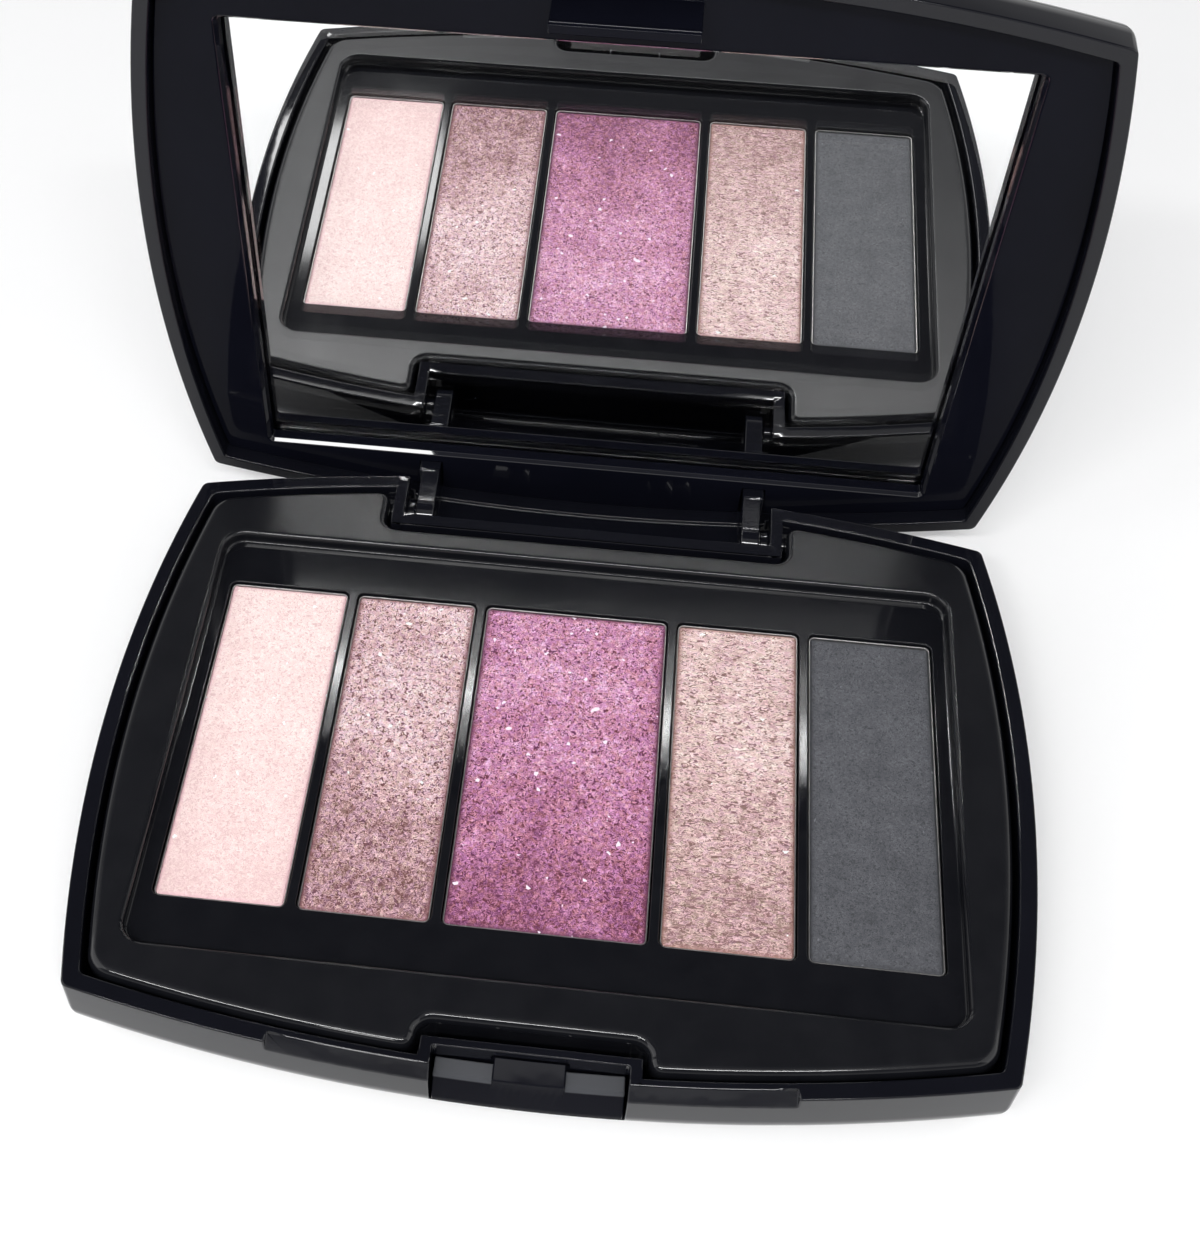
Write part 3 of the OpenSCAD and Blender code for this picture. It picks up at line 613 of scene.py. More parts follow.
def loft(rings):
    """Skins a run of closed loops and closes both ends. Each ring is a function that draws one
    loop into a mesh. Every band is bridged by itself, which is quick, and then merged."""
    bands = [band(low, high) for low, high in zip(rings, rings[1:])]
    bm = together(*bands, cap(rings[0]), cap(rings[-1]))
    bmesh.ops.remove_doubles(bm, verts=bm.verts, dist=MERGE)
    bmesh.ops.recalc_face_normals(bm, faces=bm.faces)
    return bm


def arc(centre, radius, start, end, segments):
    """Points of an arc in a section. Angles are in degrees: 0 is inwards and 90 is up."""
    points = []
    for i in range(segments + 1):
        angle = math.radians(start + (end - start) * i / segments)
        points.append((centre[0] + radius * math.cos(angle), centre[1] + radius * math.sin(angle)))
    return points


# %% Rings of the case and of plates
CASE_STEPS = 36
CASE_CORNER_R = 0.45
LINE = 0


def case_ring(inset, z):
    """The case's outline, drawn in by inset, with slightly rounded corners."""
    x, y = corner_at(inset)
    strokes = [((x, y), (-side_centre, 0), CASE_STEPS), ((-x, y), (0, -front_centre), CASE_STEPS),
               ((-x, -y), (side_centre, 0), CASE_STEPS), ((x, -y), (0, front_centre), CASE_STEPS)]
    return lambda bm: draw_loop(bm, (x, -y), strokes, z, [CASE_CORNER_R] * 4, 4)


def plate_ring(w, d, radius, z, x=0.0, y=0.0, steps=6):
    """A rectangle with rounded corners, given by its width, depth and middle."""
    left, right, front, back = x - w / 2, x + w / 2, y - d / 2, y + d / 2
    corners = [(right, back), (left, back), (left, front), (right, front)]
    strokes = [(corner, None, LINE) for corner in corners]
    return lambda bm: draw_loop(bm, (right, front), strokes, z, [radius] * 4, steps)


# %% Blocks, rods and bars that follow the front edge
hinge_at = Vector(frame["joints"][0]["pos_m"]) / MM


def block(low, high):
    """A box from its lowest corner to its highest."""
    bm = bmesh.new()
    low, high = Vector(low), Vector(high)
    bmesh.ops.create_cube(bm, size=1.0, matrix=Matrix.LocRotScale((low + high) / 2, None, high - low))
    return bm


def cylinder(middle, axis, radius, length, segments):
    """A round bar that stands upright and is then laid down by a quarter turn about an axis."""
    bm = bmesh.new()
    place = Matrix.Translation(middle) @ Matrix.Rotation(math.pi / 2, 4, axis)
    bmesh.ops.create_cone(bm, cap_ends=True, segments=segments, radius1=radius, radius2=radius,
                          depth=length, matrix=place)
    return bm


def rod(x0, x1, radius, segments=64):
    """A rod on the hinge axis."""
    return cylinder(((x0 + x1) / 2, hinge_at.y, hinge_at.z), "Y", radius, x1 - x0, segments)


def front_bar(profile, half_w, steps=24):
    """Sweeps a section along the front edge. Its points are the distance behind the front
    edge and the height."""
    bm = bmesh.new()
    turn = math.asin(half_w / front_r)
    verts = [bmesh.ops.create_vert(bm, co=(0, front_centre - (front_r - back), z))["vert"][0]
             for back, z in profile]
    face = bmesh.ops.contextual_create(bm, geom=verts)["faces"]
    centre = (0, front_centre, 0)
    bmesh.ops.rotate(bm, verts=bm.verts, cent=centre, matrix=Matrix.Rotation(-turn, 3, "Z"))
    bmesh.ops.spin(bm, geom=face, cent=centre, axis=(0, 0, 1), angle=2 * turn, steps=steps)
    bmesh.ops.recalc_face_normals(bm, faces=bm.faces)
    return bm


# %% Join, cut and cross
def as_object(bm, name):
    """Puts a mesh into the scene."""
    mesh = bpy.data.meshes.new(name)
    bm.to_mesh(mesh)
    bm.free()
    obj = bpy.data.objects.new(name, mesh)
    scene.collection.objects.link(obj)
    return obj


def combine(bm, tool, operation):
    """Cuts (DIFFERENCE), joins (UNION) or crosses (INTERSECT) two closed meshes."""
    body, other = as_object(bm, "body"), as_object(tool, "tool")
    modifier = body.modifiers.new("combine", "BOOLEAN")
    modifier.operation = operation
    modifier.solver = "EXACT"
    modifier.object = other
    shaped = body.evaluated_get(bpy.context.evaluated_depsgraph_get())
    result = bmesh.new()
    result.from_mesh(shaped.to_mesh())
    for obj in (body, other):
        mesh = obj.data
        bpy.data.objects.remove(obj)
        bpy.data.meshes.remove(mesh)
    bmesh.ops.remove_doubles(result, verts=result.verts, dist=MERGE / 2)
    bmesh.ops.dissolve_degenerate(result, dist=MERGE / 2, edges=result.edges)
    return result


def united(*parts):
    """Joins several closed meshes into one skin."""
    whole = parts[0]
    for part in parts[1:]:
        whole = combine(whole, part, "UNION")
    return whole


def mirrored(make):
    """The same thing on the right and on the left."""
    left = make()
    bmesh.ops.scale(left, verts=left.verts, vec=(-1, 1, 1))
    bmesh.ops.recalc_face_normals(left, faces=left.faces)
    return together(make(), left)


# %% [markdown]
# ## Finishing a piece
# Mouldings never have razor edges: a tiny bevel on every sharp edge catches the light, and
# weighted normals keep the flat faces flat beside it. Pieces of the lid are modelled closed,
# where their sizes are easy to read, and swung open about the hinge pins at the end.

# %% Turn a mesh into a finished piece
SHARP = math.radians(32)
open_angle = math.radians(frame["joints"][0]["range_deg"][1])


def finish_piece(bm, name, body, materials, stands_for, edge=0.0):
    """Turns a mesh in millimetres into a piece that rides on a body and replaces a CAD node."""
    if body == "lid":
        bmesh.ops.rotate(bm, verts=bm.verts, cent=hinge_at, matrix=Matrix.Rotation(-open_angle, 3, "X"))
    bmesh.ops.scale(bm, verts=bm.verts, vec=(MM, MM, MM))
    for face in bm.faces:
        face.smooth = True
    for crease in bm.edges:
        crease.smooth = crease.calc_face_angle(0.0) < SHARP
    piece = as_object(bm, name)
    for material in materials:
        piece.data.materials.append(material)
    if edge:
        soften = piece.modifiers.new("soft edges", "BEVEL")
        soften.width = edge * MM
        soften.segments = 2
        soften.limit_method = "ANGLE"
        soften.angle_limit = SHARP
        soften.use_clamp_overlap = False
        soften.harden_normals = False
        soften.miter_outer = "MITER_ARC"
    weigh = piece.modifiers.new("weighted normals", "WEIGHTED_NORMAL")
    weigh.keep_sharp = True
    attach(piece, body)
    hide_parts(stands_for)
    print(f"{name}: {len(piece.data.vertices)} vertices, {len(piece.data.polygons)} faces")
    return piece


# %% [markdown]
# ## Base shell
# The base is a shallow moulded bowl. Its wall turns into the underside with a 4 mm round, and
# a narrow rim runs round the top. The catch's housing stands inside the front, and the hinge
# sits in a notch at the back. What stands on the floor starts inside it, at one of two depths,
# so that no two faces of the parts that are joined lie in one plane.

# %% Base: the bowl
base_h = 8.0
base_floor = 1.2
rim_w = 1.55
edge_round = 4.0
rim_outer = 0.18
rim_inner = 0.22
floor_round = edge_round - rim_w

bowl_line = arc((edge_round, edge_round), edge_round, 270, 180, 12)
bowl_line += arc((rim_outer, base_h - rim_outer), rim_outer, 180, 90, 4)
bowl_line += arc((rim_w - rim_inner, base_h - rim_inner), rim_inner, 90, 0, 4)
bowl_line += arc((rim_w + floor_round, base_floor + floor_round), floor_round, 180, 270, 8)
bowl = loft([case_ring(inset, z) for inset, z in bowl_line])
print("bowl loops:", len(bowl_line))

# %% Clearances between parts that move or slide
SUNK, DEEP_SUNK = 0.5, 0.4
above = base_h + 2
bridge_air = 0.3
hook_air = 0.3
slide_air = 0.1

# %% Base: the catch housing
slot_half = 8.0
cheek_w = 1.0
cheek_half = slot_half + cheek_w
cheek_foot_top = 4.8
bridge_in = 2.7
bridge_y = front_y + bridge_in
bridge_back = bridge_y + 0.75
bridge_h = 1.8
bridge_z = base_h - bridge_h
hook_y = bridge_back + bridge_air
hook_back = hook_y + 0.85
notch_y = hook_back + hook_air
runner_x = slot_half / 2
runner_w = 1.5
slot_z = base_floor + 1.5
button_z = slot_z + slide_air
deck_top = button_z + 1.6
deck_back = hook_back + 1.7
button_travel = 0.9
spring_l = 3.1
stop_y = deck_back + spring_l
stop_t = 0.8
stop_half = 2.5
spring_z = button_z + 0.8
stop_top = spring_z + 0.8
finger_half = 2.95
button_gap = 0.15


def cheek():
    """One side wall of the slot, with the foot that stops the button's ear."""
    wall = block((slot_half, front_y, SUNK), (cheek_half, bridge_back, base_h))
    foot = block((slot_half, front_y, DEEP_SUNK), (cheek_half, deck_back - button_travel, cheek_foot_top))
    return combine(wall, foot, "UNION")


def runner():
    """One of the two rails that the button slides on."""
    return block((runner_x, front_y, DEEP_SUNK), (runner_x + runner_w, stop_y, slot_z))


bridge = block((-cheek_half, bridge_y, bridge_z), (cheek_half, bridge_back, base_h))
stop = block((-stop_half, stop_y, DEEP_SUNK), (stop_half, stop_y + stop_t, stop_top))
housing = together(combine(bridge, mirrored(cheek), "UNION"), mirrored(runner), stop)
print("catch housing faces:", len(housing.faces))

# %% Base: the hinge housing
arm_out = 17.3
arm_t = 1.8
arm_r = 2.55
web_r = 3.25
web_t = 1.05
pin_r = 0.75
pin_seat = 3.9
turn_air = 0.3
notch_half = arm_out + 1.0
notch_face = hinge_at.y - web_r - turn_air
notch_front = hinge_at.y - arm_r - turn_air
wall_half = notch_half + 1.15
wall_y = notch_face - 0.8
ledge_h = 1.2
ledge_z = base_h - ledge_h
boss_r = 1.9
boss_start = notch_half + 0.2
boss_end = notch_half + pin_seat + 0.7


def boss():
    """The block that holds one end of a pin."""
    foot = block((boss_start, hinge_at.y - boss_r, SUNK), (boss_end, hinge_at.y + boss_r, hinge_at.z))
    return combine(foot, rod(boss_start, boss_end, boss_r), "UNION")


def notch_side():
    """The wall at one end of the notch."""
    return block((notch_half, wall_y - 2 * MERGE, DEEP_SUNK), (wall_half, back_y, base_h))


hinge_walls = united(
    block((-wall_half, wall_y, SUNK), (wall_half, notch_face, base_h)),
    block((-wall_half, wall_y - MERGE, ledge_z), (wall_half, notch_front, base_h)),
    mirrored(notch_side),
    mirrored(boss),
)
print("hinge housing faces:", len(hinge_walls.faces))

# %% Base: join the housings
mid_rim = rim_w / 2
inside_line = [(mid_rim + 3.2, 0.6), (mid_rim, edge_round), (mid_rim, base_h)]
inside = loft([case_ring(inset, z) for inset, z in inside_line])
housings = combine(together(housing, hinge_walls), inside, "INTERSECT")
base = combine(bowl, housings, "UNION")
print("base with its housings:", len(base.faces), "faces")

# %% Base: cut the thumb bevel, the catch slot and the hinge notch
thumb_half = 21.5
thumb_in = 0.9
thumb_h = 1.4
thumb_z = base_h - thumb_h
outside = -2.0
ahead_y = front_y - 3
behind_y = back_y + 2
finger_slot = finger_half + button_gap
thumb_cut = front_bar([(thumb_in, base_h), (0.0, thumb_z), (outside, thumb_z),
                       (outside, above), (thumb_in, above)], thumb_half)
slot_cut = united(
    block((-slot_half, ahead_y, slot_z), (slot_half, bridge_y, above)),
    block((-slot_half, ahead_y, slot_z), (slot_half, deck_back, bridge_z)),
    block((-finger_slot, front_y, slot_z), (finger_slot, bridge_back + 1, base_h - bridge_h / 2)),
)
notch_cut = united(
    block((-notch_half, notch_face, base_floor), (notch_half, behind_y, ledge_z)),
    block((-notch_half, notch_front, base_floor), (notch_half, behind_y, above)),
    block((-notch_half, hinge_at.y, outside), (notch_half, behind_y, above)),
)
for tool in (thumb_cut, slot_cut, notch_cut):
    base = combine(base, tool, "DIFFERENCE")

# %% Base: the washers round the pins, and the pin holes
washer_r = 1.5
washer_air = 0.15
washers = mirrored(lambda: rod(arm_out + washer_air, notch_half + 0.3, washer_r))
pin_holes = mirrored(lambda: rod(arm_out, notch_half + pin_seat + 0.1, pin_r))
base = combine(combine(base, washers, "UNION"), pin_holes, "DIFFERENCE")
finish_piece(base, "base_case", "base", [case_gloss], "base_shell", edge=0.12)

# %% [markdown]
# ## Tray
# The tray is one thin moulding. A fat round bead runs all the way round its edge and follows
# the notches for the catch and the hinge, which is where it catches most light. Its land is
# flat, the recess has a soft lip, and the ribs between the pans are rounded over.

# %% Tray: outline with its two notches
tray_inset = 2.0
tray_top = 8.1
tray_low = 3.0
tray_wall = 0.9
bead_r = 0.9
tray_fit = 0.45
catch_notch_x = slot_half + cheek_w + tray_fit
hinge_notch_x = wall_half + tray_fit
hinge_notch_y = wall_y - tray_fit
TRAY_CORNER_R = 2.0
NOTCH_CORNER_R = 1.3


def tray_ring(extra, z):
    """The tray's edge, drawn in by extra. Corners that turn inwards open up as they are drawn in."""
    inset = tray_inset + extra
    x, y = corner_at(inset)
    cx, cy = catch_notch_x + extra, notch_y + extra
    hx, hy = hinge_notch_x + extra, hinge_notch_y - extra
    left, right = (side_centre, 0), (-side_centre, 0)
    front, back = (0, front_centre), (0, -front_centre)
    strokes = [
        ((x, y), right, CASE_STEPS), ((hx, edge_y(hx, inset)), back, 12), ((hx, hy), None, LINE),
        ((-hx, hy), None, LINE), ((-hx, edge_y(hx, inset)), None, LINE), ((-x, y), back, 12),
        ((-x, -y), left, CASE_STEPS), ((-cx, -edge_y(cx, inset)), front, 16), ((-cx, cy), None, LINE),
        ((cx, cy), None, LINE), ((cx, -edge_y(cx, inset)), None, LINE), ((x, -y), front, 16),
    ]
    main, shut, wide = TRAY_CORNER_R - extra, NOTCH_CORNER_R - extra, NOTCH_CORNER_R + extra
    radii = [main, shut, wide, wide, shut, main, main, shut, wide, wide, shut, main]
    return lambda bm: draw_loop(bm, (x, -y), strokes, z, radii, 7)


tray_line = [(tray_wall, tray_top - tray_wall), (tray_wall, tray_low), (0.0, tray_low)]
tray_line += arc((bead_r, tray_top - bead_r), bead_r, 180, 90, 10)
tray = loft([tray_ring(extra, z) for extra, z in tray_line])
print("tray edge loops:", len(tray_line))

# %% Tray: sizes of the recess and the wells
recess_w, recess_d, recess_y = 70.6, 45.8, -0.75
recess_z = tray_top - 1.35
recess_r = 2.0
lip_r = 0.5
sole_r = 0.3
well_z = base_floor + 1.0
well_l = 35.4
well_r = 0.7
well_w = [11.695, 11.695, 17.7, 11.695, 11.695]
rib_w = 0.83
mouth_r = 0.09
near_x = well_w[2] / 2 + rib_w + well_w[1] / 2
far_x = near_x + well_w[1] + rib_w
well_x = [-far_x, -near_x, 0.0, near_x, far_x]


def recess_ring(out, z):
    """The recess, let out by a little."""
    return plate_ring(recess_w + 2 * out, recess_d + 2 * out, recess_r + out, z, y=recess_y)


def well_ring(i, out, z):
    """One of the wells, let out by a little."""
    return plate_ring(well_w[i] + 2 * out, well_l + 2 * out, well_r + out, z,
                      x=well_x[i], y=recess_y, steps=5)


# %% Tray: the pocket's wall and the block that holds the wells
pocket = loft([recess_ring(tray_wall, tray_top - 2.25), recess_ring(tray_wall, tray_top - 0.3)])
holder_x = far_x + well_w[0] / 2 + tray_wall
holder_y = well_l / 2 + tray_wall
holder = block((-holder_x, recess_y - holder_y, base_floor),
               (holder_x, recess_y + holder_y, recess_z - 0.45))
tray = combine(tray, combine(pocket, holder, "UNION"), "UNION")
print("tray with its holder:", len(tray.faces), "faces")

# %% Tray: cut the recess, the wells and the room for the catch and the bosses
recess_line = arc((-sole_r, recess_z + sole_r), sole_r, 270, 360, 4)
recess_line += arc((lip_r, tray_top - lip_r), lip_r, 180, 90, 6)
recess_line += [(lip_r, tray_top + 1)]
tray = combine(tray, loft([recess_ring(out, z) for out, z in recess_line]), "DIFFERENCE")


def well_cut(i):
    """The room of one well, with the soft edge of its mouth."""
    line = [(0.0, well_z)] + arc((mouth_r, recess_z - mouth_r), mouth_r, 180, 90, 5)
    line += [(mouth_r, recess_z + 0.4)]
    return loft([well_ring(i, out, z) for out, z in line])


tray = combine(tray, together(*[well_cut(i) for i in range(5)]), "DIFFERENCE")
catch_room_top = 5.0
boss_room_top = hinge_at.z + boss_r + 0.2
catch_room = block((-catch_notch_x, front_y, 0),
                   (catch_notch_x, stop_y + stop_t + tray_fit, catch_room_top))
boss_room = mirrored(lambda: block((wall_half, hinge_at.y - boss_r - tray_fit, 0),
                                   (boss_end + tray_fit, back_y, boss_room_top)))
tray = combine(tray, together(catch_room, boss_room), "DIFFERENCE")
finish_piece(tray, "powder_tray", "base", [tray_satin], "pan_tray")

# %% [markdown]
# ## Pans and powders
# Each powder is pressed into a thin drawn pan of bare metal, whose rim shows as a fine line
# round the powder. A powder's face is never flat: the cloth leaves a low relief, shimmer
# breaks into crumbs, and the shoulder is worn where it meets the rim. A grid of fine quads
# takes that relief from noise of two sizes, and its border drops to make the shoulder.

# %% Pans
glue_t = 0.15
pan_z = well_z + glue_t
pan_top = recess_z - 0.3
powder_top = pan_top - 0.1
pan_fit = 0.1
pan_wall = 0.16
pan_root = pan_z + 0.3


def pan(i):
    """A pressed pan: up the outside, over the rounded rim, and down the inside."""
    def ring(inward, z):
        return plate_ring(well_w[i] - 2 * inward, well_l - 2 * inward, well_r - inward, z,
                          x=well_x[i], y=recess_y, steps=5)
    turn = pan_wall / 2
    line = [(pan_fit + 0.3, pan_z), (pan_fit + 0.1, pan_z + 0.1), (pan_fit, pan_root)]
    line += arc((pan_fit + turn, pan_top - turn), turn, 180, 0, 8)
    line += [(pan_fit + pan_wall, pan_root), (pan_fit + pan_wall + 0.1, pan_z + 0.2)]
    return loft([ring(inward, z) for inward, z in line])


for i in range(5):
    finish_piece(pan(i), f"powder_pan_{i + 1}", "base", [pan_metal], f"pan_{i + 1}")

# %% Powder relief
powder_inset = pan_fit + pan_wall
GRID = 0.16
APART = 7.0
CRUMB_DROP = 0.14
powder_relief = [
    {"broad": 2.6, "broad_h": 0.020, "fine": 0.35, "fine_h": 0.010},
    {"broad": 1.7, "broad_h": 0.045, "fine": 0.40, "fine_h": 0.036},
    {"broad": 2.0, "broad_h": 0.040, "fine": 0.38, "fine_h": 0.032},
    {"broad": 1.5, "broad_h": 0.045, "fine": 0.45, "fine_h": 0.036},
    {"broad": 2.8, "broad_h": 0.015, "fine": 0.30, "fine_h": 0.008},
]


def powder_height(i, x, y, rim):
    """Height above the powder's level at a place, rim mm from the wall."""
    size = powder_relief[i]
    spot = Vector((x, y, APART * i))
    height = size["broad_h"] * noise.noise(spot / size["broad"])
    height += size["fine_h"] * noise.noise(spot / size["fine"])
    height += 0.5 * size["fine_h"] * noise.noise(spot * 2.2 / size["fine"])
    crumble = 0.22 + 0.10 * noise.noise(spot / 0.5)
    if rim < crumble:
        height -= CRUMB_DROP * (1 - rim / crumble) ** 2
    return height


print("powder relief, fine heights in mm:", [size["fine_h"] for size in powder_relief])


# %% Powders
def powder(i):
    """A pressed cake: a grid cut to the pan's rounded corners, with relief and a hem below."""
    w = well_w[i] - 2 * powder_inset
    d = well_l - 2 * powder_inset
    corner_r = well_r - powder_inset
    inner = Vector((w / 2 - corner_r, d / 2 - corner_r))
    bm = bmesh.new()
    bmesh.ops.create_grid(bm, x_segments=round(w / GRID), y_segments=round(d / GRID), size=0.5)
    bmesh.ops.scale(bm, verts=bm.verts, vec=(w, d, 1))
    rim_value = bm.verts.layers.float.new("rim")
    for v in bm.verts:
        beyond = Vector((max(0.0, abs(v.co.x) - inner.x), max(0.0, abs(v.co.y) - inner.y)))
        if beyond.x and beyond.y and beyond.length > corner_r:
            beyond *= corner_r / beyond.length
            v.co.x = math.copysign(inner.x + beyond.x, v.co.x)
            v.co.y = math.copysign(inner.y + beyond.y, v.co.y)
        rim = min(w / 2 - abs(v.co.x), d / 2 - abs(v.co.y))
        v[rim_value] = rim
        v.co.z = powder_top + powder_height(i, v.co.x, v.co.y, rim)
    skirt = bmesh.ops.extrude_edge_only(bm, edges=[e for e in bm.edges if e.is_boundary])
    for hem in [g for g in skirt["geom"] if isinstance(g, bmesh.types.BMVert)]:
        hem.co.z = pan_z + 0.4
    bmesh.ops.edgeloop_fill(bm, edges=[e for e in bm.edges if e.is_boundary])
    bmesh.ops.translate(bm, verts=bm.verts, vec=(well_x[i], recess_y, 0))
    bmesh.ops.recalc_face_normals(bm, faces=bm.faces)
    return bm


for i in range(5):
    finish_piece(powder(i), f"pressed_powder_{i + 1}", "base", [powder_shades[i]],
                 f"powder_{i + 1}")

# %% [markdown]
# ## Push button
# The button fills the slot in the front wall. Its face follows the curve of the case, and a
# small raised finger rib in the middle tells where to press. A flat deck runs back from it
# under the bridge, with an ear on each side that keeps it in, and a nub that holds the spring.

# %% Button
head_z = base_h - 1.95
brow_z = head_z - 0.5
face_z = brow_z - 1.95
finger_top = base_h - bridge_h / 2 - button_gap
button_half = slot_half - button_gap
ear_half = cheek_half - 0.2
ear_l = 0.8
head_in, brow_in, face_in = 2.5, 1.3, 0.2
rib_in, rib_brow_in, rib_face_in = 2.7, 1.05, 0.8
head_line = [(head_in, button_z), (head_in, head_z), (brow_in, brow_z), (face_in, face_z),
             (face_in, button_z)]
rib_line = [(rib_in, deck_top), (rib_in, finger_top), (rib_brow_in, finger_top - 0.95),
            (rib_face_in, brow_z - 1), (brow_in, deck_top)]
button = united(
    front_bar(head_line, button_half),
    front_bar(rib_line, finger_half, 10),
    block((-button_half, front_y + 2.2, button_z), (button_half, deck_back, deck_top)),
    block((-ear_half, deck_back - ear_l, button_z), (ear_half, deck_back, deck_top)),
    cylinder((0, deck_back + 0.4, spring_z), "X", 0.55, 1.4, 32),
)
finish_piece(button, "push_button", "latch_button", [button_gloss],
             "latch_button", edge=0.1)

# %% [markdown]
# ## Return spring
# Five turns of drawn wire sit between the button and a stop in the base, and push the button
# back out. The wire's round end is set across its path, then spun about the coil's middle
# while each step also moves it along, which draws a helix. The coil is one fixed piece that
# rides with the base.

# %% Spring
COIL_TURNS = 5
COIL_R = 0.9
WIRE_R = 0.15


def coil(y, z, turn_steps=28, sides=12):
    """A helix of wire that runs back from y round a line at height z."""
    bm = bmesh.new()
    steps = COIL_TURNS * turn_steps
    rise = (spring_l - 2 * WIRE_R) / steps
    slope = math.atan2(rise * turn_steps, 2 * math.pi * COIL_R)
    place = Matrix.Translation((COIL_R, y + WIRE_R, z)) @ Matrix.Rotation(-slope, 4, "X")
    bmesh.ops.create_circle(bm, cap_ends=True, segments=sides, radius=WIRE_R, matrix=place)
    bmesh.ops.spin(bm, geom=bm.faces[:], cent=(0, y, z), axis=(0, 1, 0), dvec=(0, rise, 0),
                   angle=-2 * math.pi * COIL_TURNS, steps=steps)
    bmesh.ops.recalc_face_normals(bm, faces=bm.faces)
    return bm


spring = finish_piece(coil(deck_back, spring_z), "return_spring", "base",
                      [wire_steel], "latch_spring")
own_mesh(spring)

# %% [markdown]
# ## Lid shell
# The lid is a shallow dish like the base, drawn here closed. A curved web at its back hides
# the hinge, and an arm at each end of the web carries it on the pins.

# %% Lid: the dish
lid_z = 8.25
lid_top = 14.25
lid_rim_w = 1.4
lid_rim_inner = 0.15
glass_z = 11.2
glass_t = 1.3
glass_lap = 0.9
glass_fit = 0.3
pad_t = 0.3
window_w, window_d, window_y = 66.2, 49.9, 0.65
glass_w, glass_d = window_w + 2 * glass_lap, window_d + 2 * glass_lap

dish_line = arc((edge_round, lid_top - edge_round), edge_round, 90, 180, 12)
dish_line += arc((rim_outer, lid_z + rim_outer), rim_outer, 180, 270, 4)
dish_line += arc((lid_rim_w - lid_rim_inner, lid_z + lid_rim_inner), lid_rim_inner, 270, 360, 3)
dish_line += [(lid_rim_w, glass_z)]
lid = loft([case_ring(inset, z) for inset, z in dish_line])
glass_bed = loft([plate_ring(glass_w + glass_fit, glass_d + glass_fit, 0.2, z, y=window_y)
                  for z in (glass_z - 0.3, glass_z + glass_t + pad_t)])
lid = combine(lid, glass_bed, "DIFFERENCE")
print("dish with the glass's bed:", len(lid.faces), "faces")

# %% Lid: relief that clears the base's back edge
relief_air = 0.12
relief_from = notch_half - relief_air
relief_to = math.sqrt(front_r ** 2 - (hinge_at.y + front_centre) ** 2)
RELIEF_STEPS = 8


def rim_relief():
    """The space that the base's back edge sweeps as the lid turns, with a little air round it."""
    bm = bmesh.new()
    line = [(relief_from, 0.0)]
    for i in range(RELIEF_STEPS + 1):
        x = relief_from + i * (relief_to - relief_from) / RELIEF_STEPS
        line.append((x, math.hypot(edge_y(x) - hinge_at.y, base_h - hinge_at.z) + relief_air))
    line.append((relief_to, 0.0))
    tip = bmesh.ops.create_vert(bm, co=(relief_from, hinge_at.y, hinge_at.z))["vert"][0]
    for x, radius in line[1:]:
        tip = bmesh.ops.extrude_vert_indiv(bm, verts=[tip])["verts"][0]
        tip.co = (x, hinge_at.y, hinge_at.z + radius)
    bmesh.ops.spin(bm, geom=list(bm.verts) + list(bm.edges), cent=hinge_at, axis=(1, 0, 0),
                   angle=2 * math.pi, steps=96, use_merge=True)
    bmesh.ops.remove_doubles(bm, verts=bm.verts, dist=MERGE)
    bmesh.ops.recalc_face_normals(bm, faces=bm.faces)
    return bm


lid = combine(lid, mirrored(rim_relief), "DIFFERENCE")
print("dish with its relief:", len(lid.faces), "faces")

# %% Lid: the curved back web
HAIR = 0.02
FAR = 70
web_end_angle = math.radians(60)
web_top, web_room_top = lid_z + 0.3, lid_z + 0.6


def upright(inset):
    """The case's outline as a tall prism, drawn in by a hair so that no two skins coincide."""
    return loft([case_ring(inset + HAIR, -3.0), case_ring(inset + HAIR, lid_top + 2)])


def web_solid(inset, radius, half_w, top_z):
    """The hinge barrel and the wall above it, cut to the case's outline."""
    wall = block((-half_w, hinge_at.y, hinge_at.z), (half_w, behind_y, top_z))
    barrel = combine(rod(-half_w, half_w, radius, 96), wall, "UNION")
    return combine(barrel, upright(inset), "INTERSECT")


web = combine(web_solid(0, web_r, arm_out - HAIR, web_top),
              web_solid(web_t, web_r - web_t, arm_out + 2, web_room_top), "DIFFERENCE")
below = block((-case_half_w, hinge_at.y - FAR, hinge_at.z - FAR),
              (case_half_w, hinge_at.y + FAR, hinge_at.z))
bmesh.ops.rotate(below, verts=below.verts, cent=hinge_at,
                 matrix=Matrix.Rotation(-web_end_angle, 3, "X"))
ahead = block((-case_half_w, hinge_at.y - FAR, -3), (case_half_w, hinge_at.y + HAIR, lid_top))
for tool in (below, ahead):
    web = combine(web, tool, "DIFFERENCE")
print("web:", len(web.faces), "faces")


# %% Lid: the hinge arms
def arm():
    """A hanger round the pin, and a wider root in the dish behind the rim."""
    low_x, high_x = arm_out - arm_t, arm_out
    front = hinge_at.y - arm_r
    wall = block((low_x, front, hinge_at.z), (high_x, back_y, web_room_top))
    hanger = combine(rod(low_x, high_x, arm_r), wall, "UNION")
    root = block((low_x, front, web_top), (high_x + 0.3, back_y, glass_z + 0.3))
    return combine(combine(hanger, upright(HAIR), "INTERSECT"),
                   combine(root, upright(lid_rim_w / 2), "INTERSECT"), "UNION")


pin_air = 0.05
pin_room = rod(-arm_out - 2, arm_out + 2, pin_r + pin_air)
web = combine(combine(web, mirrored(arm), "UNION"), pin_room, "DIFFERENCE")
lid = combine(lid, web, "UNION")
finish_piece(lid, "lid_case", "lid", [case_gloss], "lid_shell", edge=0.12)

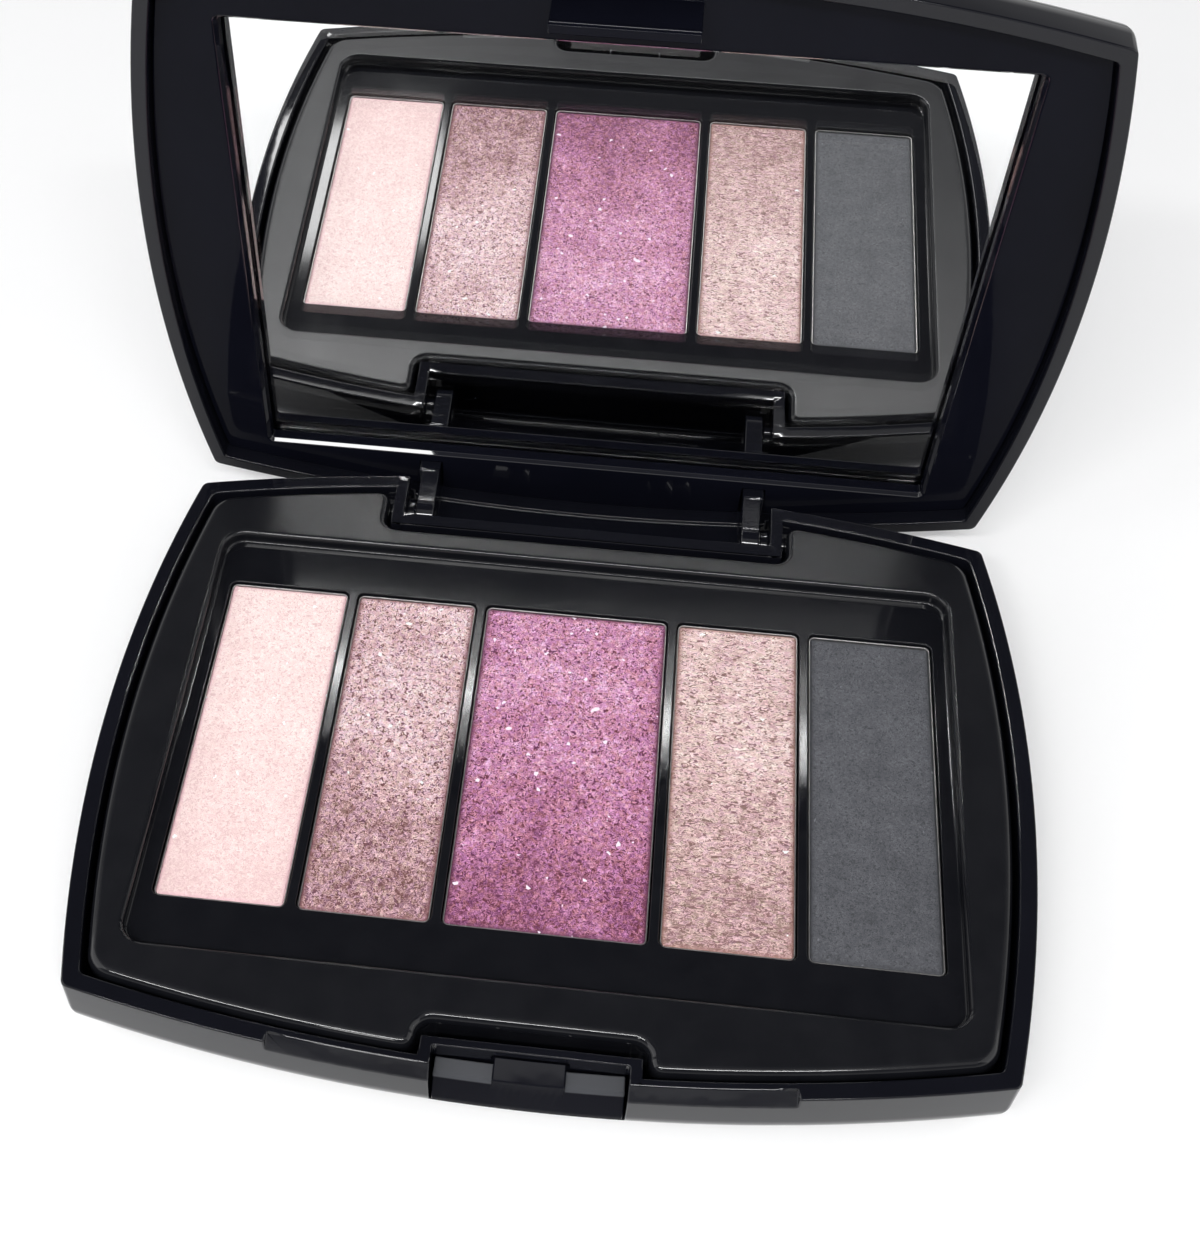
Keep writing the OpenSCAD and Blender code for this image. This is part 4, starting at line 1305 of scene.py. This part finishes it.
# %% [markdown]
# ## Mirror frame and mirror
# A glossy panel fills the lid behind its rim. The mirror shows through its window, and the
# hook that the push button holds stands on its front edge. The panel has two finishes, and the
# tilt of a face tells which: the sloping lips of the window and of the panel's outer edge get
# the shinier one. The mirror is one block of glass, and only the face at its back gets the silver.

# %% Frame
frame_z = lid_z + 1.5
frame_fit = 0.1
chamfer = 0.4
window_r = 0.3


def window_ring(out, z):
    """The mirror's window, let out by a little."""
    return plate_ring(window_w + 2 * out, window_d + 2 * out, window_r + out, z, y=window_y, steps=4)


panel_line = [(0.0, glass_z), (0.0, frame_z + 0.12), (0.04, frame_z + 0.04), (0.12, frame_z)]
panel = loft([case_ring(lid_rim_w + frame_fit + inward, z) for inward, z in panel_line])
window_line = [(0.0, glass_z + 1), (0.0, frame_z + chamfer), (chamfer, frame_z), (chamfer, frame_z - 1)]
window = loft([window_ring(out, z) for out, z in window_line])
arm_room = mirrored(lambda: block((arm_out - arm_t - frame_fit, hinge_at.y - arm_r - frame_fit, 5),
                                  (arm_out + 0.4, back_y, lid_top)))
panel = combine(panel, together(window, arm_room), "DIFFERENCE")
print("panel with its window:", len(panel.faces), "faces")

# %% Frame: the hook
hook_half = 5.9
hook_low = lid_z - 2.8
toe = 0.1
toe_low, toe_high = hook_low + 0.3, hook_low + 0.55
hook = united(
    block((-hook_half, hook_y, hook_low), (hook_half, hook_back, frame_z + 0.3)),
    block((-hook_half, hook_y - toe, toe_low), (hook_half, hook_y + toe, toe_high)),
)
panel = combine(panel, hook, "UNION")
for face in panel.faces:
    face.material_index = 1 if -0.95 < face.normal.z < -0.3 else 0
print("lip faces:", sum(face.material_index for face in panel.faces))
finish_piece(panel, "mirror_panel", "lid", [panel_gloss, lip_gloss],
             "mirror_frame", edge=0.1)

# %% Mirror
glass = block((-glass_w / 2, window_y - glass_d / 2, glass_z),
              (glass_w / 2, window_y + glass_d / 2, glass_z + glass_t))
level = [e for e in glass.edges if abs(e.verts[0].co.z - e.verts[1].co.z) < glass_t / 2]
bmesh.ops.bevel(glass, geom=level, affect="EDGES", offset=0.12, segments=2, profile=0.5, material=-1)
for face in glass.faces:
    face.material_index = 1 if face.normal.z > 0.99 else 0
print("silvered faces:", sum(face.material_index for face in glass.faces))
finish_piece(glass, "mirror_glass", "lid", [mirror_glass, mirror_silver], "mirror")

# %% [markdown]
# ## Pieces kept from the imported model
# The hinge pins, the glue under the pans and the foam behind the mirror are simple and mostly
# hidden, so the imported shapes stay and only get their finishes.

# %% Finishes for the kept pieces
kept_finish = {"pan_adhesive": glue_film, "hinge_pin_left": pin_steel, "hinge_pin_right": pin_steel,
               "mirror_pad": pad_foam}
for name, material in kept_finish.items():
    for holder_slot in bpy.data.objects[name].material_slots:
        holder_slot.material = material
    print(name, "->", material.name)

# %% [markdown]
# ## Floor, light and camera
# The palette stands on a white sheet. A strip lamp high above the front gives the plastic its
# crisp highlights. It is a thin bright tube in a wider dim hood, so each highlight has a core
# and soft flanks, and it is turned a little, which sets where the ribs between the pans catch
# it. A small lamp lights the front corner, a wide dim panel keeps the blacks readable, and a
# window on each side lights the end walls. The room is pale near the floor and dark overhead,
# because glossy black shows whatever is above it. The sheet glows faintly in mirrors and in
# view, but lights nothing, so it stays white without washing out the sides of the case.

# %% Floor
FLOOR_HALF = 3.0
FLOOR_GLOW = 0.15
sheet = bmesh.new()
bmesh.ops.create_grid(sheet, x_segments=1, y_segments=1, size=FLOOR_HALF)
floor = as_object(sheet, "floor")
floor_white, tree, shader, place = finish("white sheet", roughness=0.9)
paper = use(tree, mottle, place, Size=60.0, Low=0.0, High=1.0)["Value"]
feed(tree, shader["Base Color"], mix(tree, paper, (0.80, 0.80, 0.80, 1), (0.83, 0.83, 0.83, 1)))
rays = node(tree, "LightPath").outputs
sharp_rays = maths(tree, "MAXIMUM", rays["Is Glossy Ray"], rays["Is Transmission Ray"])
seen = maths(tree, "MAXIMUM", rays["Is Camera Ray"], sharp_rays)
glow = maths(tree, "MULTIPLY", seen, FLOOR_GLOW)
feed(tree, shader["Emission Color"], mix(tree, glow, (0, 0, 0, 1), (1, 1, 1, 1)))
shader["Emission Strength"].default_value = 1.0
floor.data.materials.append(floor_white)
print("floor:", 2 * FLOOR_HALF, "m wide")

# %% Room
WHITE = (1.0, 1.0, 1.0)
ROOM_TONES = [(0.0, WHITE), (0.26, WHITE), (0.52, (0.30, 0.30, 0.31)), (0.74, (0.07, 0.07, 0.08))]
world = bpy.data.worlds.new("studio")
scene.world = world
world.use_nodes = True
sky = world.node_tree
up = node(sky, "SeparateXYZ", {"Vector": node(sky, "TexCoord").outputs["Generated"]}).outputs[2]
feed(sky, sky.nodes["Background"].inputs["Color"], ramp(sky, up, ROOM_TONES))
print("room tones:", len(ROOM_TONES))


# %% Lamps
def area_lamp(name, size_x, size_y, watts, place):
    """A soft box that faces the palette."""
    data = bpy.data.lights.new(name, "AREA")
    data.shape = "RECTANGLE"
    data.size = size_x
    data.size_y = size_y
    data.energy = watts
    lamp = bpy.data.objects.new(name, data)
    scene.collection.objects.link(lamp)
    lamp.location = place
    lamp.rotation_mode = "QUATERNION"
    lamp.rotation_quaternion = (-lamp.location).to_track_quat("-Z", "Y")
    return lamp


STRIP_AT = Vector((-0.045, -0.300, 0.438))
STRIP_TURN = Quaternion((0, 0, 1), math.radians(10.5))
tube = area_lamp("strip tube", 0.46, 0.014, 1.6, STRIP_AT)
hood = area_lamp("strip hood", 0.50, 0.064, 0.44, STRIP_AT * 1.02)
for lamp in (tube, hood):
    lamp.rotation_quaternion = lamp.rotation_quaternion @ STRIP_TURN
area_lamp("corner lamp", 0.060, 0.045, 0.16, Vector((-0.10, -0.36, 0.33)))
area_lamp("dim panel", 0.90, 0.26, 0.56, Vector((-0.02, -0.272, 0.535)))
area_lamp("left window", 0.50, 0.40, 1.15, Vector((-0.50, -0.05, 0.34)))
area_lamp("right window", 0.50, 0.40, 0.82, Vector((0.50, -0.05, 0.34)))

# %% Camera
eye = Vector((2.42, -94.09, 142.75)) * MM
target = Vector((-8.99, 12.66, 8.0)) * MM
camera_data = bpy.data.cameras.new("camera")
camera_data.sensor_width = 36.0
camera_data.lens = 52.455
camera_data.shift_x = 0.0965
camera_data.shift_y = 0.0064
camera_data.clip_start = 0.005
camera = bpy.data.objects.new("camera", camera_data)
scene.collection.objects.link(camera)
camera.location = eye
camera.rotation_mode = "QUATERNION"
roll = Quaternion((0, 0, 1), math.radians(0.556))
camera.rotation_quaternion = (target - eye).to_track_quat("-Z", "Y") @ roll
scene.camera = camera
scene.view_settings.view_transform = "Standard"
print("camera at", [round(v / MM, 1) for v in eye], "mm")
